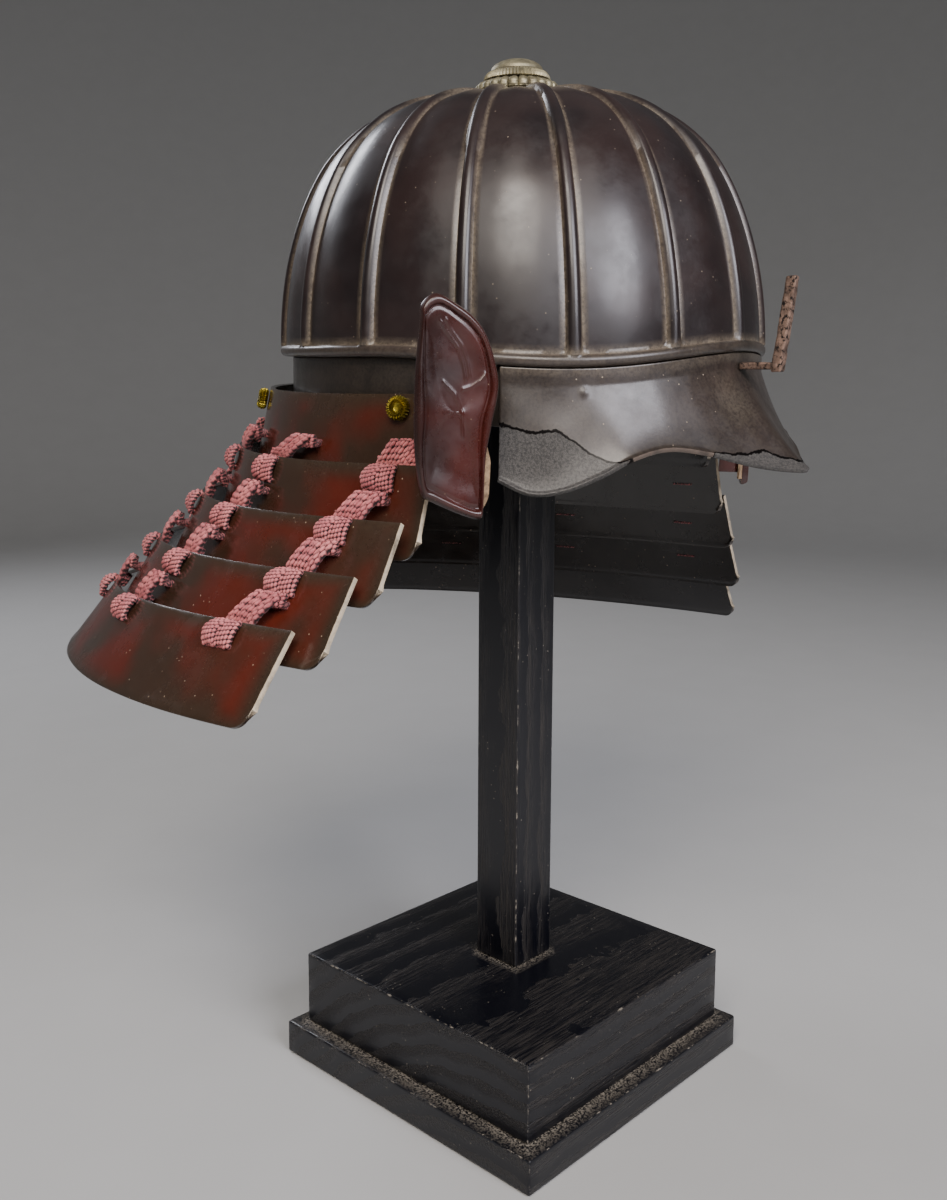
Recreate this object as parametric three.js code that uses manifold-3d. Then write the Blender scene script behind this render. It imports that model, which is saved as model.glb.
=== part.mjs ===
// Samurai helmet (kabuto) on a plain wooden display stand.
// Millimetres, +Z up. The origin is the centre of the plinth's underside. The helmet's front
// faces -Y and its wearer's right side is -X.
import * as THREE from 'three';
import { mergeVertices } from 'three/addons/utils/BufferGeometryUtils.js';
import Module from 'manifold-3d';

const wasm = await Module();
wasm.setup();

// ---- Driving dimensions ------------------------------------------------------------------

const GAP = 0.3; // clearance between neighbouring pieces

const STAND = {
  plinthSide: 165, plinthHeight: 16.5, plinthRound: 3,
  blockSide: 150, blockHeight: 36.5, blockRound: 1,
  postSide: 27, postClear: 3, turn: THREE.MathUtils.degToRad(-5.7),
};

// The bowl sits in its own tilted frame, whose origin is the centre of the rim bead.
const BOWL = {
  rimHeight: 361, rollDeg: -2.5, pitchDeg: 0.75,
  halfWidth: 107.5, halfLength: 114.5, height: 112.5, wall: 2.6,
  sideBulge: 3.6, sideShoulder: 1.88, frontBulge: 3.6, frontShoulder: 1.88,
  beadRadius: 2.6, rimDip: 5,
};

const RIB = { count: 16, width: 5, height: 2.6, endRadius: 20.6, fadeLength: 6, pillow: 0.8 };

const BAND = { wall: 2, inset: 3.2, top: -BOWL.beadRadius - GAP, bottom: -27, flare: 0.8, columns: 28 };

const PEAK = {
  wall: 2.2, rootOffset: 1, rootTop: -BOWL.beadRadius - GAP - 0.1, rootHeight: 11, columns: 31,
  levels: [0, 0.2, 0.5, 0.78, 1], flareFrom: 0.2, reachPower: 1.12, fallPower: 1.15,
};

// Free edge of the peak from its rear corner to the front centre line.
const PEAK_EDGE = [
  { angle: 30, overhang: 9, drop: 50.5 },
  { angle: 36, overhang: 10, drop: 56 },
  { angle: 42, overhang: 11.2, drop: 54.8 },
  { angle: 49, overhang: 12.5, drop: 48.8 },
  { angle: 55, overhang: 13, drop: 42.5 },
  { angle: 62, overhang: 13, drop: 39.3 },
  { angle: 70, overhang: 14.5, drop: 41.5 },
  { angle: 79, overhang: 20.5, drop: 46.8 },
  { angle: 85, overhang: 26.5, drop: 49.6 },
  { angle: 90, overhang: 32.5, drop: 50.8 },
];

const PRONG = { width: 5, depth: 4.5, bottom: -11, top: 28, baseReach: 18.5, lean: 5.5, tabThick: 3 };

const FINIAL = {
  rise: 0.65, baseRadius: 17.5, baseThick: 3.5,
  petals: 24, petalRadius: 19.5, petalDepth: 1.6, petalThick: 5,
  teeth: 20, toothRadius: 15.6, toothDepth: 0.9, toothThick: 4,
  domeRadius: 12.2, domeHeight: 5.4,
};

// The neck guard's lames hang from the helmet's rim level. Each row gives a lame's upper and
// lower edge: half width, reach to the back, height at the sides and at the back, the place of
// its front end, the half length of the front part of its outline, and the angle of its first
// column of lacing.
const NECK = { level: 354, wall: 2.2, cornerRadius: 7, facetLength: 34 };
const LAMES = [
  {
    rollDeg: -1, front: -50, frontAxis: 118, lacingStartDeg: -13.7,
    top: { side: 110, back: 128, height: -13.5, backHeight: -9 },
    bottom: { side: 119.5, back: 137.5, height: -56, backHeight: -51 },
  },
  {
    rollDeg: 0.5, front: -47, frontAxis: 330, lacingStartDeg: -4.2,
    top: { side: 123.5, back: 144.5, height: -44, backHeight: -37 },
    bottom: { side: 134.5, back: 155.5, height: -80, backHeight: -76 },
  },
  {
    rollDeg: 1.5, front: -46, frontAxis: 330, lacingStartDeg: -2.8,
    top: { side: 139, back: 163.5, height: -67, backHeight: -62 },
    bottom: { side: 155, back: 178, height: -98, backHeight: -97 },
  },
  {
    rollDeg: 2.2, front: -41, frontAxis: 330, lacingStartDeg: -1.7,
    top: { side: 157.5, back: 184, height: -88, backHeight: -87 },
    bottom: { side: 177, back: 201, height: -120.5, backHeight: -118 },
  },
  {
    rollDeg: 2.5, front: -29, frontAxis: 330, lacingStartDeg: 0.7,
    top: { side: 176, back: 205, height: -108, backHeight: -111 },
    bottom: { side: 199, back: 224, height: -140.5, backHeight: -137 },
  },
];

const LACING = {
  columns: 9, width: 12, thickness: 1.4, stand: 1.5,
  slotHeight: 3, slotSide: 0.7, knotTop: 0.11, knotBottom: 0.35, exitAbove: 4,
};

const ROSETTE = {
  angles: [-9.8, 48, 132, 189.8], down: 6, radius: 5.3, cup: 3.2, teeth: 9, toothDepth: 0.8,
  shankRadius: 1.6, holeRadius: 2, shankLength: 9,
};
const ROSETTE_LEVELS = [
  { reach: 0.8, z: 0.3 }, { reach: 1, z: 1.4 }, { reach: 1, z: 3.2 }, { reach: 0.72, z: 4.6 },
];

// Outline of a turned-back wing, from the fold (x = 0) back to its free edge (x < 0).
const WING = {
  wall: 2.2, bead: 1.6, beadWidth: 3.2, front: { x: -110, y: -67.5 }, rear: { x: -135, y: -51 },
  lean: 2, height: -62, webHeight: 34, webBase: 9, webReach: 14, webInset: 5,
  middle: { across: -16.5, up: 40 }, overlap: 0.5, points: 26,
};
const WING_EDGE = [
  { across: -7, up: 0 }, { across: -5.4, up: 3 }, { across: -4.6, up: 22 },
  { across: -2.6, up: 34.6 }, { across: 0, up: 49 }, { across: -1.6, up: 59 },
  { across: -5.2, up: 68.6 }, { across: -10, up: 74.6 }, { across: -16, up: 78.8 },
  { across: -24, up: 82.5 }, { across: -29.4, up: 79 }, { across: -30.2, up: 72 },
  { across: -31.7, up: 51.5 }, { across: -31.7, up: 28 }, { across: -30.5, up: 16 },
  { across: -28.7, up: 9 }, { across: -25.2, up: 7 }, { across: -14.7, up: 2.3 },
];

// ---- Materials ---------------------------------------------------------------------------

const finish = (color, roughness, metalness) =>
  new THREE.MeshStandardMaterial({ color, roughness, metalness });

const MATERIALS = {
  blackLacquer: finish(0x2a2020, 0.32, 0.0),
  redLacquer: finish(0x4a1a12, 0.3, 0.0),
  silk: finish(0x8a4f57, 0.9, 0.0),
  agedBronze: finish(0x5d5748, 0.45, 0.8),
  gilt: finish(0xb08a2e, 0.3, 1.0),
  rustedIron: finish(0x4a342b, 0.6, 0.5),
  blackWood: finish(0x14120f, 0.5, 0.0),
};

// ---- Geometry helpers --------------------------------------------------------------------

const radians = THREE.MathUtils.degToRad;
const vector = (x, y, z) => new THREE.Vector3(x, y, z);
const range = (count) => Array.from({ length: count }, (_, index) => index);

// A closed mesh from points and triangles, turned so that its faces point out.
function closedMesh(points, triangles) {
  let volume = 0;
  for (const [a, b, c] of triangles) {
    volume += points[a].dot(vector(0, 0, 0).crossVectors(points[b], points[c]));
  }
  const faces = volume < 0 ? triangles.map(([a, b, c]) => [a, c, b]) : triangles;
  const geometry = new THREE.BufferGeometry();
  const positions = points.flatMap((point) => [point.x, point.y, point.z]);
  geometry.setAttribute('position', new THREE.Float32BufferAttribute(positions, 3));
  geometry.setIndex(faces.flat());
  return geometry;
}

// A wall between two equal grids of points, rows[row][column]; `around` joins the last
// column to the first.
function wall(outer, inner, around = false) {
  const rows = outer.length;
  const columns = outer[0].length;
  const points = [...outer.flat(), ...inner.flat()];
  const at = (side, row, column) => side * rows * columns + row * columns + (column % columns);
  const triangles = [];
  const quad = (a, b, c, d) => triangles.push([a, b, c], [a, c, d]);
  const steps = around ? columns : columns - 1;
  for (let column = 0; column < steps; column += 1) {
    for (let row = 0; row < rows - 1; row += 1) {
      const next = column + 1;
      quad(at(0, row, column), at(0, row, next), at(0, row + 1, next), at(0, row + 1, column));
      quad(at(1, row, next), at(1, row, column), at(1, row + 1, column), at(1, row + 1, next));
    }
    quad(at(0, 0, column + 1), at(0, 0, column), at(1, 0, column), at(1, 0, column + 1));
    const last = rows - 1;
    quad(at(0, last, column), at(0, last, column + 1), at(1, last, column + 1),
      at(1, last, column));
  }
  if (!around) {
    for (let row = 0; row < rows - 1; row += 1) {
      const end = columns - 1;
      quad(at(0, row, 0), at(0, row + 1, 0), at(1, row + 1, 0), at(1, row, 0));
      quad(at(0, row + 1, end), at(0, row, end), at(1, row, end), at(1, row + 1, end));
    }
  }
  return closedMesh(points, triangles);
}

// A dome from rings of points closed by a pole at the top and a flat fan at the bottom.
function dome(rings, pole, floorCentre) {
  const columns = rings[0].length;
  const points = [...rings.flat(), pole, floorCentre];
  const poleIndex = points.length - 2;
  const floorIndex = points.length - 1;
  const top = (rings.length - 1) * columns;
  const triangles = [];
  for (let column = 0; column < columns; column += 1) {
    const next = (column + 1) % columns;
    for (let ring = 0; ring < rings.length - 1; ring += 1) {
      const low = ring * columns;
      const high = low + columns;
      triangles.push([low + column, low + next, high + next]);
      triangles.push([low + column, high + next, high + column]);
    }
    triangles.push([top + column, top + next, poleIndex], [next, column, floorIndex]);
  }
  return closedMesh(points, triangles);
}

// A bar through four-cornered sections, closed by a flat face at each end.
function bar(sections) {
  const points = sections.flat();
  const triangles = [[0, 1, 2], [0, 2, 3]];
  for (let index = 0; index < sections.length - 1; index += 1) {
    for (const corner of range(4)) {
      const a = index * 4 + corner;
      const b = index * 4 + ((corner + 1) % 4);
      triangles.push([a, a + 4, b + 4], [a, b + 4, b]);
    }
  }
  const end = (sections.length - 1) * 4;
  triangles.push([end, end + 2, end + 1], [end, end + 3, end + 2]);
  return closedMesh(points, triangles);
}

function solidOf(geometry) {
  const bare = geometry.clone();
  bare.deleteAttribute('normal');
  bare.deleteAttribute('uv');
  const merged = mergeVertices(bare, 1e-5);
  return new wasm.Manifold(new wasm.Mesh({
    numProp: 3,
    vertProperties: Float32Array.from(merged.attributes.position.array),
    triVerts: Uint32Array.from(merged.index.array),
  }));
}

function geometryOf(solid) {
  const mesh = solid.getMesh();
  const geometry = new THREE.BufferGeometry();
  geometry.setAttribute('position', new THREE.Float32BufferAttribute(mesh.vertProperties, 3));
  geometry.setIndex(Array.from(mesh.triVerts));
  return geometry;
}

const cut = (geometry, tools) =>
  geometryOf(tools.reduce((solid, tool) => solid.subtract(solidOf(tool)), solidOf(geometry)));

const join = (geometry, others) =>
  geometryOf(others.reduce((solid, other) => solid.add(solidOf(other)), solidOf(geometry)));

// Turns a geometry's own axes to the given across, up and out directions at a point.
function place(geometry, point, across, up, out) {
  const frame = new THREE.Matrix4().makeBasis(across, up, out).setPosition(point);
  return geometry.applyMatrix4(frame);
}

function named(name, geometry, material) {
  const mesh = new THREE.Mesh(geometry, material);
  mesh.name = name;
  return mesh;
}

// A square slab with rounded upper edges.
function slab(side, height, round) {
  const levels = [
    { inset: 0, z: 0 }, { inset: 0, z: height - round },
    { inset: round * 0.3, z: height - round * 0.3 }, { inset: round, z: height },
  ];
  return bar(levels.map(({ inset, z }) => {
    const half = side / 2 - inset;
    return [[-1, -1], [1, -1], [1, 1], [-1, 1]].map(([x, y]) => vector(x * half, y * half, z));
  }));
}

// A round rod along Z.
function rod(radius, from, to, sides) {
  const shape = new THREE.CylinderGeometry(radius, radius, to - from, sides);
  return shape.rotateX(Math.PI / 2).translate(0, 0, (from + to) / 2);
}

// A disc whose rim has rounded lobes or teeth.
function toothedDisc(count, radius, depth, thickness) {
  const outline = range(count * 3).map((index) => {
    const angle = (index / (count * 3)) * Math.PI * 2;
    const reach = radius - depth * [0, 0, 1][index % 3];
    return new THREE.Vector2(reach * Math.cos(angle), reach * Math.sin(angle));
  });
  return new THREE.ExtrudeGeometry(new THREE.Shape(outline), { depth: thickness, bevelEnabled: false });
}

// ---- Bowl, band and peak -----------------------------------------------------------------

// Angles run from the wearer's right side (0) over the front (90).
const rimDrop = (angle) => (Math.sin(angle) > 0 ? -BOWL.rimDip * Math.sin(2 * angle) ** 2 : 0);

function rimPoint(angle, offset = 0, z = 0) {
  return vector(
    -(BOWL.halfWidth + offset) * Math.cos(angle),
    -(BOWL.halfLength + offset) * Math.sin(angle),
    z + rimDrop(angle),
  );
}

// A point of the bowl at a share of its height, moved outward by an offset.
function bowlPoint(angle, share, offset = 0) {
  const side = (1 - share ** BOWL.sideShoulder) ** (1 / BOWL.sideBulge);
  const front = (1 - share ** BOWL.frontShoulder) ** (1 / BOWL.frontBulge);
  const radial = Math.min(1, 4 * (1 - share));
  const settle = 1 - share;
  return vector(
    -(BOWL.halfWidth * side + offset * radial) * Math.cos(angle),
    -(BOWL.halfLength * front + offset * radial) * Math.sin(angle),
    share * BOWL.height + offset * share ** 3 + rimDrop(angle) * settle ** 2,
  );
}

// Columns of one rib and of the plate beside it: how far along, and how high.
function ribColumns(radius) {
  const half = Math.min(RIB.width / 2 / radius, Math.PI / RIB.count / 2);
  const fade = THREE.MathUtils.clamp((radius - RIB.endRadius) / RIB.fadeLength, 0, 1);
  const plate = Math.PI / RIB.count;
  return [
    { turn: -half, rise: 0 },
    { turn: 0, rise: RIB.height * fade },
    { turn: half, rise: 0 },
    { turn: plate, rise: RIB.pillow * fade },
  ];
}

// The share of the bowl's height at which its half width has shrunk to a radius.
const shareAt = (radius) =>
  (1 - (radius / BOWL.halfWidth) ** BOWL.sideBulge) ** (1 / BOWL.sideShoulder);

function bowlRing(share) {
  const radius = Math.abs(bowlPoint(0, share).x);
  return range(RIB.count).flatMap((rib) => ribColumns(radius).map(({ turn, rise }) =>
    bowlPoint((rib / RIB.count) * Math.PI * 2 + turn, share, rise)));
}

function beadRing(offset, z) {
  return range(RIB.count).flatMap((rib) => ribColumns(BOWL.halfWidth).map(({ turn }) =>
    rimPoint((rib / RIB.count) * Math.PI * 2 + turn, offset, z)));
}

function makeBowl() {
  const r = BOWL.beadRadius;
  const shares = [
    0.2, 0.4, 0.58, 0.74, 0.87, 0.95, shareAt(RIB.endRadius + RIB.fadeLength), shareAt(RIB.endRadius),
  ];
  const rings = [
    beadRing(0.2, -r), beadRing(r, -r * 0.45), beadRing(r, r * 0.45), bowlRing(r / BOWL.height),
    ...shares.map((share) => bowlRing(share)),
  ];
  const outside = dome(rings, vector(0, 0, BOWL.height), vector(0, 0, -r));
  const innerColumns = 24;
  const innerRing = (share) => range(innerColumns).map((column) =>
    bowlPoint((column / innerColumns) * Math.PI * 2, share, -BOWL.wall));
  const mouth = range(innerColumns).map((column) =>
    rimPoint((column / innerColumns) * Math.PI * 2, -BOWL.wall, -3 * BOWL.beadRadius));
  const innerRings = [mouth, innerRing(0.02), ...[0.3, 0.58, 0.8, 0.95].map(innerRing)];
  const ceiling = vector(0, 0, BOWL.height - BOWL.wall);
  const inside = dome(innerRings, ceiling, vector(0, 0, -3 * BOWL.beadRadius));
  return cut(outside, [inside]);
}

function makeBand(holes) {
  const columns = BAND.columns;
  const ring = (offset, z) => range(columns).map((column) =>
    rimPoint((column / columns) * Math.PI * 2, offset - BAND.inset, z));
  const outer = [ring(0, BAND.top), ring(BAND.flare, BAND.bottom)];
  const inner = [ring(-BAND.wall, BAND.top), ring(BAND.flare - BAND.wall, BAND.bottom)];
  return cut(wall(outer, inner, true), holes);
}

// The peak's free edge at an angle, by a smooth curve through its table; it is the same on
// both sides of the front centre line.
const peakCurve = new THREE.CatmullRomCurve3([
  ...PEAK_EDGE.map(({ angle, overhang, drop }) => vector(angle, overhang, drop)),
  ...PEAK_EDGE.slice(0, -1).reverse()
    .map(({ angle, overhang, drop }) => vector(180 - angle, overhang, drop)),
]);

function makePeak() {
  const stations = range(PEAK.columns).map((column) => peakCurve.getPoint(column / (PEAK.columns - 1)));
  const sheet = (inset) => PEAK.levels.map((level) => stations.map(({ x, y, z }) => {
    const rootZ = PEAK.rootTop - Math.min(1, level / PEAK.flareFrom) * PEAK.rootHeight * 0.6;
    const flare = Math.max(0, (level - PEAK.flareFrom) / (1 - PEAK.flareFrom));
    const reach = PEAK.rootOffset - inset + (y - PEAK.rootOffset) * flare ** PEAK.reachPower;
    const fall = (z + rootZ) * (1 - (1 - flare) ** PEAK.fallPower) * (flare > 0 ? 1 : 0);
    const sag = inset * flare * 0.8;
    const point = rimPoint(radians(x), reach, rootZ - fall - sag);
    point.z -= rimDrop(radians(x)) * flare;
    return point;
  }));
  return wall(sheet(0), sheet(PEAK.wall));
}

function makeProng() {
  const front = -BOWL.halfLength - PEAK.rootOffset - GAP - 0.3;
  const section = (y, z, depth) => [
    vector(-PRONG.width / 2, y, z), vector(PRONG.width / 2, y, z),
    vector(PRONG.width / 2, y - depth, z), vector(-PRONG.width / 2, y - depth, z),
  ];
  const foot = front - PRONG.baseReach + PRONG.depth;
  const upright = bar([
    section(foot, PRONG.bottom, PRONG.depth),
    section(foot - PRONG.lean * 0.4, PRONG.top * 0.5, PRONG.depth),
    section(foot - PRONG.lean, PRONG.top, PRONG.depth * 0.8),
  ]);
  const tab = bar([
    section(front, PRONG.bottom + 1, PRONG.baseReach - 1),
    section(front, PRONG.bottom + 1 + PRONG.tabThick, PRONG.baseReach - 1),
  ]);
  return join(upright, [tab]);
}

function makeFinial() {
  const group = new THREE.Group();
  group.position.set(0, 0, BOWL.height + FINIAL.rise);
  const petals = toothedDisc(FINIAL.petals, FINIAL.petalRadius, FINIAL.petalDepth, FINIAL.petalThick);
  petals.translate(0, 0, FINIAL.baseThick);
  const plate = join(petals, [rod(FINIAL.baseRadius, 0, FINIAL.baseThick + GAP, 24)]);
  const ringLevel = FINIAL.baseThick + FINIAL.petalThick + GAP;
  const ring = toothedDisc(FINIAL.teeth, FINIAL.toothRadius, FINIAL.toothDepth, FINIAL.toothThick);
  ring.translate(0, 0, ringLevel);
  const steps = 4;
  const profile = range(steps + 1).map((step) => {
    const angle = (step / steps) * (Math.PI / 2);
    return new THREE.Vector2(FINIAL.domeRadius * Math.cos(angle), FINIAL.domeHeight * Math.sin(angle));
  });
  profile[steps].x = 0;
  const cap = new THREE.LatheGeometry([new THREE.Vector2(0, 0), ...profile], 20);
  cap.rotateX(Math.PI / 2);
  cap.translate(0, 0, ringLevel + FINIAL.toothThick + GAP);
  group.add(named('finial_petal_plate', plate, MATERIALS.agedBronze));
  group.add(named('finial_beaded_ring', ring, MATERIALS.agedBronze));
  group.add(named('finial_dome', geometryOf(solidOf(cap)), MATERIALS.agedBronze));
  return group;
}

// ---- Neck guard --------------------------------------------------------------------------

// A point on a lame: angle from the right side over the back, share down from its upper edge,
// and distance outward from its outer face.
function lamePoint(lame, angle, share, offset = 0) {
  const { top, bottom } = lame;
  const mix = (key) => THREE.MathUtils.lerp(top[key], bottom[key], share);
  const sine = Math.sin(angle);
  const reach = sine > 0 ? mix('back') : lame.frontAxis;
  const height = THREE.MathUtils.lerp(mix('height'), mix('backHeight'), sine > 0 ? sine ** 2 : 0);
  const slope = Math.atan2(bottom.side - top.side, top.height - bottom.height);
  const out = offset * Math.cos(slope);
  const point = vector(
    -(mix('side') + out) * Math.cos(angle),
    (reach + (sine > 0 ? out : 0)) * sine,
    height + offset * Math.sin(slope),
  );
  return point.applyAxisAngle(vector(0, 1, 0), radians(lame.rollDeg));
}

// Across, down and outward directions of a lame's face, and the point itself.
function lameFrame(lame, angle, share, offset = 0) {
  const step = 0.01;
  const point = lamePoint(lame, angle, share, offset);
  const at = (angleStep, shareStep) => lamePoint(lame, angle + angleStep, share + shareStep, offset);
  const across = at(step, 0).sub(at(-step, 0)).normalize();
  const down = at(0, step).sub(at(0, -step));
  const out = vector(0, 0, 0).crossVectors(across, down).normalize().negate();
  if (out.dot(vector(point.x, point.y, 0)) < 0) out.negate();
  const up = vector(0, 0, 0).crossVectors(out, across).normalize();
  return { point, across, up, out };
}

const frontAngle = (lame) => Math.asin(lame.front / lame.frontAxis);

function lacingAngle(lame, column) {
  const first = radians(lame.lacingStartDeg);
  return THREE.MathUtils.lerp(first, Math.PI - first, column / (LACING.columns - 1));
}

// Stations along a lame: a flat facet behind each column of lacing, and even ones between.
function lameAngles(lame) {
  const first = frontAngle(lame);
  const corner = Math.asin((lame.front + NECK.cornerRadius * 0.4) / lame.frontAxis);
  const half = (LACING.width / 2 + LACING.slotSide + 1) / lame.bottom.side;
  const flats = range(LACING.columns).flatMap((column) => {
    const angle = lacingAngle(lame, column);
    return [angle - half, angle + half];
  });
  const marks = [first, corner, ...flats, Math.PI - corner, Math.PI - first];
  return marks.flatMap((mark, index) => {
    if (index === 0) return [mark];
    const span = mark - marks[index - 1];
    const pieces = Math.max(1, Math.round((span * lame.bottom.side) / NECK.facetLength));
    return range(pieces).map((piece) => marks[index - 1] + (span * (piece + 1)) / pieces);
  });
}

function lameSheet(lame) {
  const angles = lameAngles(lame);
  const slant = lame.top.height - lame.bottom.height;
  const corner = (index) => {
    const fromEnd = Math.min(index, angles.length - 1 - index);
    return (NECK.cornerRadius / slant) * [1, 0.3][fromEnd] || 0;
  };
  const face = (offset) => [0, 1].map((share) => angles.map((angle, index) =>
    lamePoint(lame, angle, share * (1 - corner(index)), offset)));
  return wall(face(0), face(-NECK.wall));
}

// Share of an upper lame's face whose height is a given one.
function shareAtHeight(lame, angle, height) {
  const top = lamePoint(lame, angle, 0).z;
  return (top - height) / (top - lamePoint(lame, angle, 1).z);
}

const exitShare = (upper, lower, angle) =>
  shareAtHeight(upper, angle, lamePoint(lower, angle, 0).z + LACING.exitAbove);

// Half of the clear space between a lame's inner face and the outer face of the one above.
function halfSpace(upper, lower, angle, share) {
  const inner = lamePoint(lower, angle, share, -NECK.wall);
  const outer = lamePoint(upper, angle, Math.min(1, shareAtHeight(upper, angle, inner.z)));
  const frame = lameFrame(lower, angle, share);
  return Math.min(inner.sub(outer).dot(frame.out) / 2, 2.6);
}

function slot(lame, angle, share) {
  const { point, across, up, out } = lameFrame(lame, angle, share, -NECK.wall / 2);
  const width = LACING.width + 2 * LACING.slotSide;
  return place(new THREE.BoxGeometry(width, LACING.slotHeight, 4 * NECK.wall), point, across, up, out);
}

const overlaps = range(LAMES.length - 1).map((index) => [LAMES[index], LAMES[index + 1]]);

function slotsOf(lame) {
  return range(LACING.columns).flatMap((column) => overlaps.flatMap(([upper, lower]) => {
    const angle = lacingAngle(lame, column);
    if (upper === lame) return [slot(lame, angle, exitShare(upper, lower, angle))];
    if (lower !== lame) return [];
    return [LACING.knotTop, LACING.knotBottom].map((share) => slot(lame, angle, share));
  }));
}

// One column of lacing: out through the upper lame, down in an arc behind the lower lame's
// upper edge, out and in again through the lower lame, four times.
function lacingRoute(column) {
  const { stand, knotTop, knotBottom } = LACING;
  return overlaps.flatMap(([upper, lower]) => {
    const angle = lacingAngle(lower, column);
    const exit = exitShare(upper, lower, lacingAngle(upper, column));
    const behind = (share) => -NECK.wall - halfSpace(upper, lower, angle, share);
    return [
      [upper, exit, -NECK.wall - stand], [upper, exit, stand],
      [lower, knotTop, behind(knotTop)], [lower, knotTop, stand],
      [lower, knotBottom, stand], [lower, knotBottom, behind(knotBottom)],
    ].map(([lame, share, offset]) => lameFrame(lame, lacingAngle(lame, column), share, offset));
  });
}

function makeLacing(column) {
  const route = lacingRoute(column);
  const half = LACING.thickness / 2;
  const sections = route.map(({ point, across }, index) => {
    const before = index > 0 ? point.clone().sub(route[index - 1].point).normalize() : null;
    const after = index < route.length - 1
      ? route[index + 1].point.clone().sub(point).normalize() : before;
    const along = (before ?? after).clone().add(after).normalize();
    const normal = vector(0, 0, 0).crossVectors(along, across).normalize();
    const bend = Math.max(0.6, along.dot(after));
    const side = across.clone().multiplyScalar(LACING.width / 2);
    const thick = normal.multiplyScalar(half / bend);
    return [[-1, -1], [1, -1], [1, 1], [-1, 1]].map(([a, b]) =>
      point.clone().addScaledVector(side, a).addScaledVector(thick, b));
  });
  return bar(sections);
}

// ---- Rosettes and wings ------------------------------------------------------------------

function rosetteFrame(degrees) {
  const lame = LAMES[0];
  const share = ROSETTE.down / (lame.top.height - lame.bottom.height);
  return lameFrame(lame, radians(degrees), share);
}

function makeRosette(degrees) {
  const rings = ROSETTE_LEVELS.map(({ reach, z }) => range(ROSETTE.teeth * 2).map((index) => {
    const angle = (index / (ROSETTE.teeth * 2)) * Math.PI * 2;
    const radius = reach * ROSETTE.radius - (index % 2) * ROSETTE.toothDepth;
    return vector(radius * Math.cos(angle), radius * Math.sin(angle), z);
  }));
  const head = dome(rings, vector(0, 0, ROSETTE.cup), vector(0, 0, ROSETTE_LEVELS[0].z));
  const shank = rod(ROSETTE.shankRadius, -ROSETTE.shankLength, 1, 10);
  const { point, across, up, out } = rosetteFrame(degrees);
  return place(join(head, [shank]), point, across, up, out);
}

function rosetteHole(degrees) {
  const { point, across, up, out } = rosetteFrame(degrees);
  return place(rod(ROSETTE.holeRadius, -20, 6, 10), point, across, up, out);
}

// The wing on the wearer's right; `side` is -1 for the right wing and 1 for the left.
function makeWing(side) {
  const edge = new THREE.CatmullRomCurve3(WING_EDGE.map(({ across, up }) => vector(across, up, 0)), true);
  const corners = edge.getPoints(WING.points).slice(0, -1);
  const outline = new THREE.Shape(corners.map(({ x, y }) => new THREE.Vector2(x, y)));
  const centre = new THREE.Vector2(WING.middle.across, WING.middle.up);
  const ringHole = new THREE.Path(outline.getPoints().map((point) => {
    const inward = centre.clone().sub(point);
    return point.clone().addScaledVector(inward.normalize(), WING.beadWidth);
  }));
  const rim = outline.clone();
  rim.holes.push(ringHole);
  const plate = new THREE.ExtrudeGeometry(outline, { depth: WING.wall, bevelEnabled: false });
  const bead = new THREE.ExtrudeGeometry(rim, { depth: WING.bead + WING.overlap, bevelEnabled: false });
  bead.translate(0, 0, WING.wall - WING.overlap);
  const web = new THREE.BoxGeometry(WING.wall, WING.webHeight, WING.webReach);
  web.translate(-WING.webInset, WING.webBase + WING.webHeight / 2, (WING.wall - WING.webReach) / 2);
  const whole = join(plate, [bead, web]);
  const { front, rear } = WING;
  const across = vector(front.x - rear.x, front.y - rear.y, 0).normalize();
  const sideways = vector(across.y, -across.x, 0);
  const up = vector(0, 0, 1).addScaledVector(sideways, Math.sin(radians(WING.lean)));
  const out = vector(0, 0, 0).crossVectors(across, up.normalize()).normalize();
  const base = vector(front.x, front.y, WING.height);
  const wing = place(whole, base, across, up, out);
  if (side > 0) return geometryOf(solidOf(wing).mirror([1, 0, 0]));
  return wing;
}

// ---- Assembly ----------------------------------------------------------------------------

function assembleStand() {
  const group = new THREE.Group();
  group.rotation.z = STAND.turn;
  const foot = STAND.plinthHeight + STAND.blockHeight + 2 * GAP;
  const crown = BOWL.rimHeight + BOWL.height - BOWL.wall;
  const tier = (name, side, height, round, z) => {
    const piece = named(name, slab(side, height, round), MATERIALS.blackWood);
    piece.position.z = z;
    group.add(piece);
  };
  tier('stand_plinth', STAND.plinthSide, STAND.plinthHeight, STAND.plinthRound, 0);
  tier('stand_block', STAND.blockSide, STAND.blockHeight, STAND.blockRound, STAND.plinthHeight + GAP);
  tier('stand_post', STAND.postSide, crown - STAND.postClear - foot, STAND.blockRound, foot);
  return group;
}

function assembleBowl(holes) {
  const group = new THREE.Group();
  group.position.z = BOWL.rimHeight;
  group.rotation.set(radians(BOWL.pitchDeg), radians(BOWL.rollDeg), 0, 'YXZ');
  group.updateMatrixWorld(true);
  const toBowl = group.matrixWorld.clone().invert();
  const localHoles = holes.map((hole) =>
    hole.clone().translate(0, 0, NECK.level).applyMatrix4(toBowl));
  group.add(named('bowl', makeBowl(), MATERIALS.blackLacquer));
  group.add(named('waist_band', makeBand(localHoles), MATERIALS.blackLacquer));
  group.add(named('peak', makePeak(), MATERIALS.blackLacquer));
  group.add(named('crest_prong', makeProng(), MATERIALS.rustedIron));
  group.add(makeFinial());
  return group;
}

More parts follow.
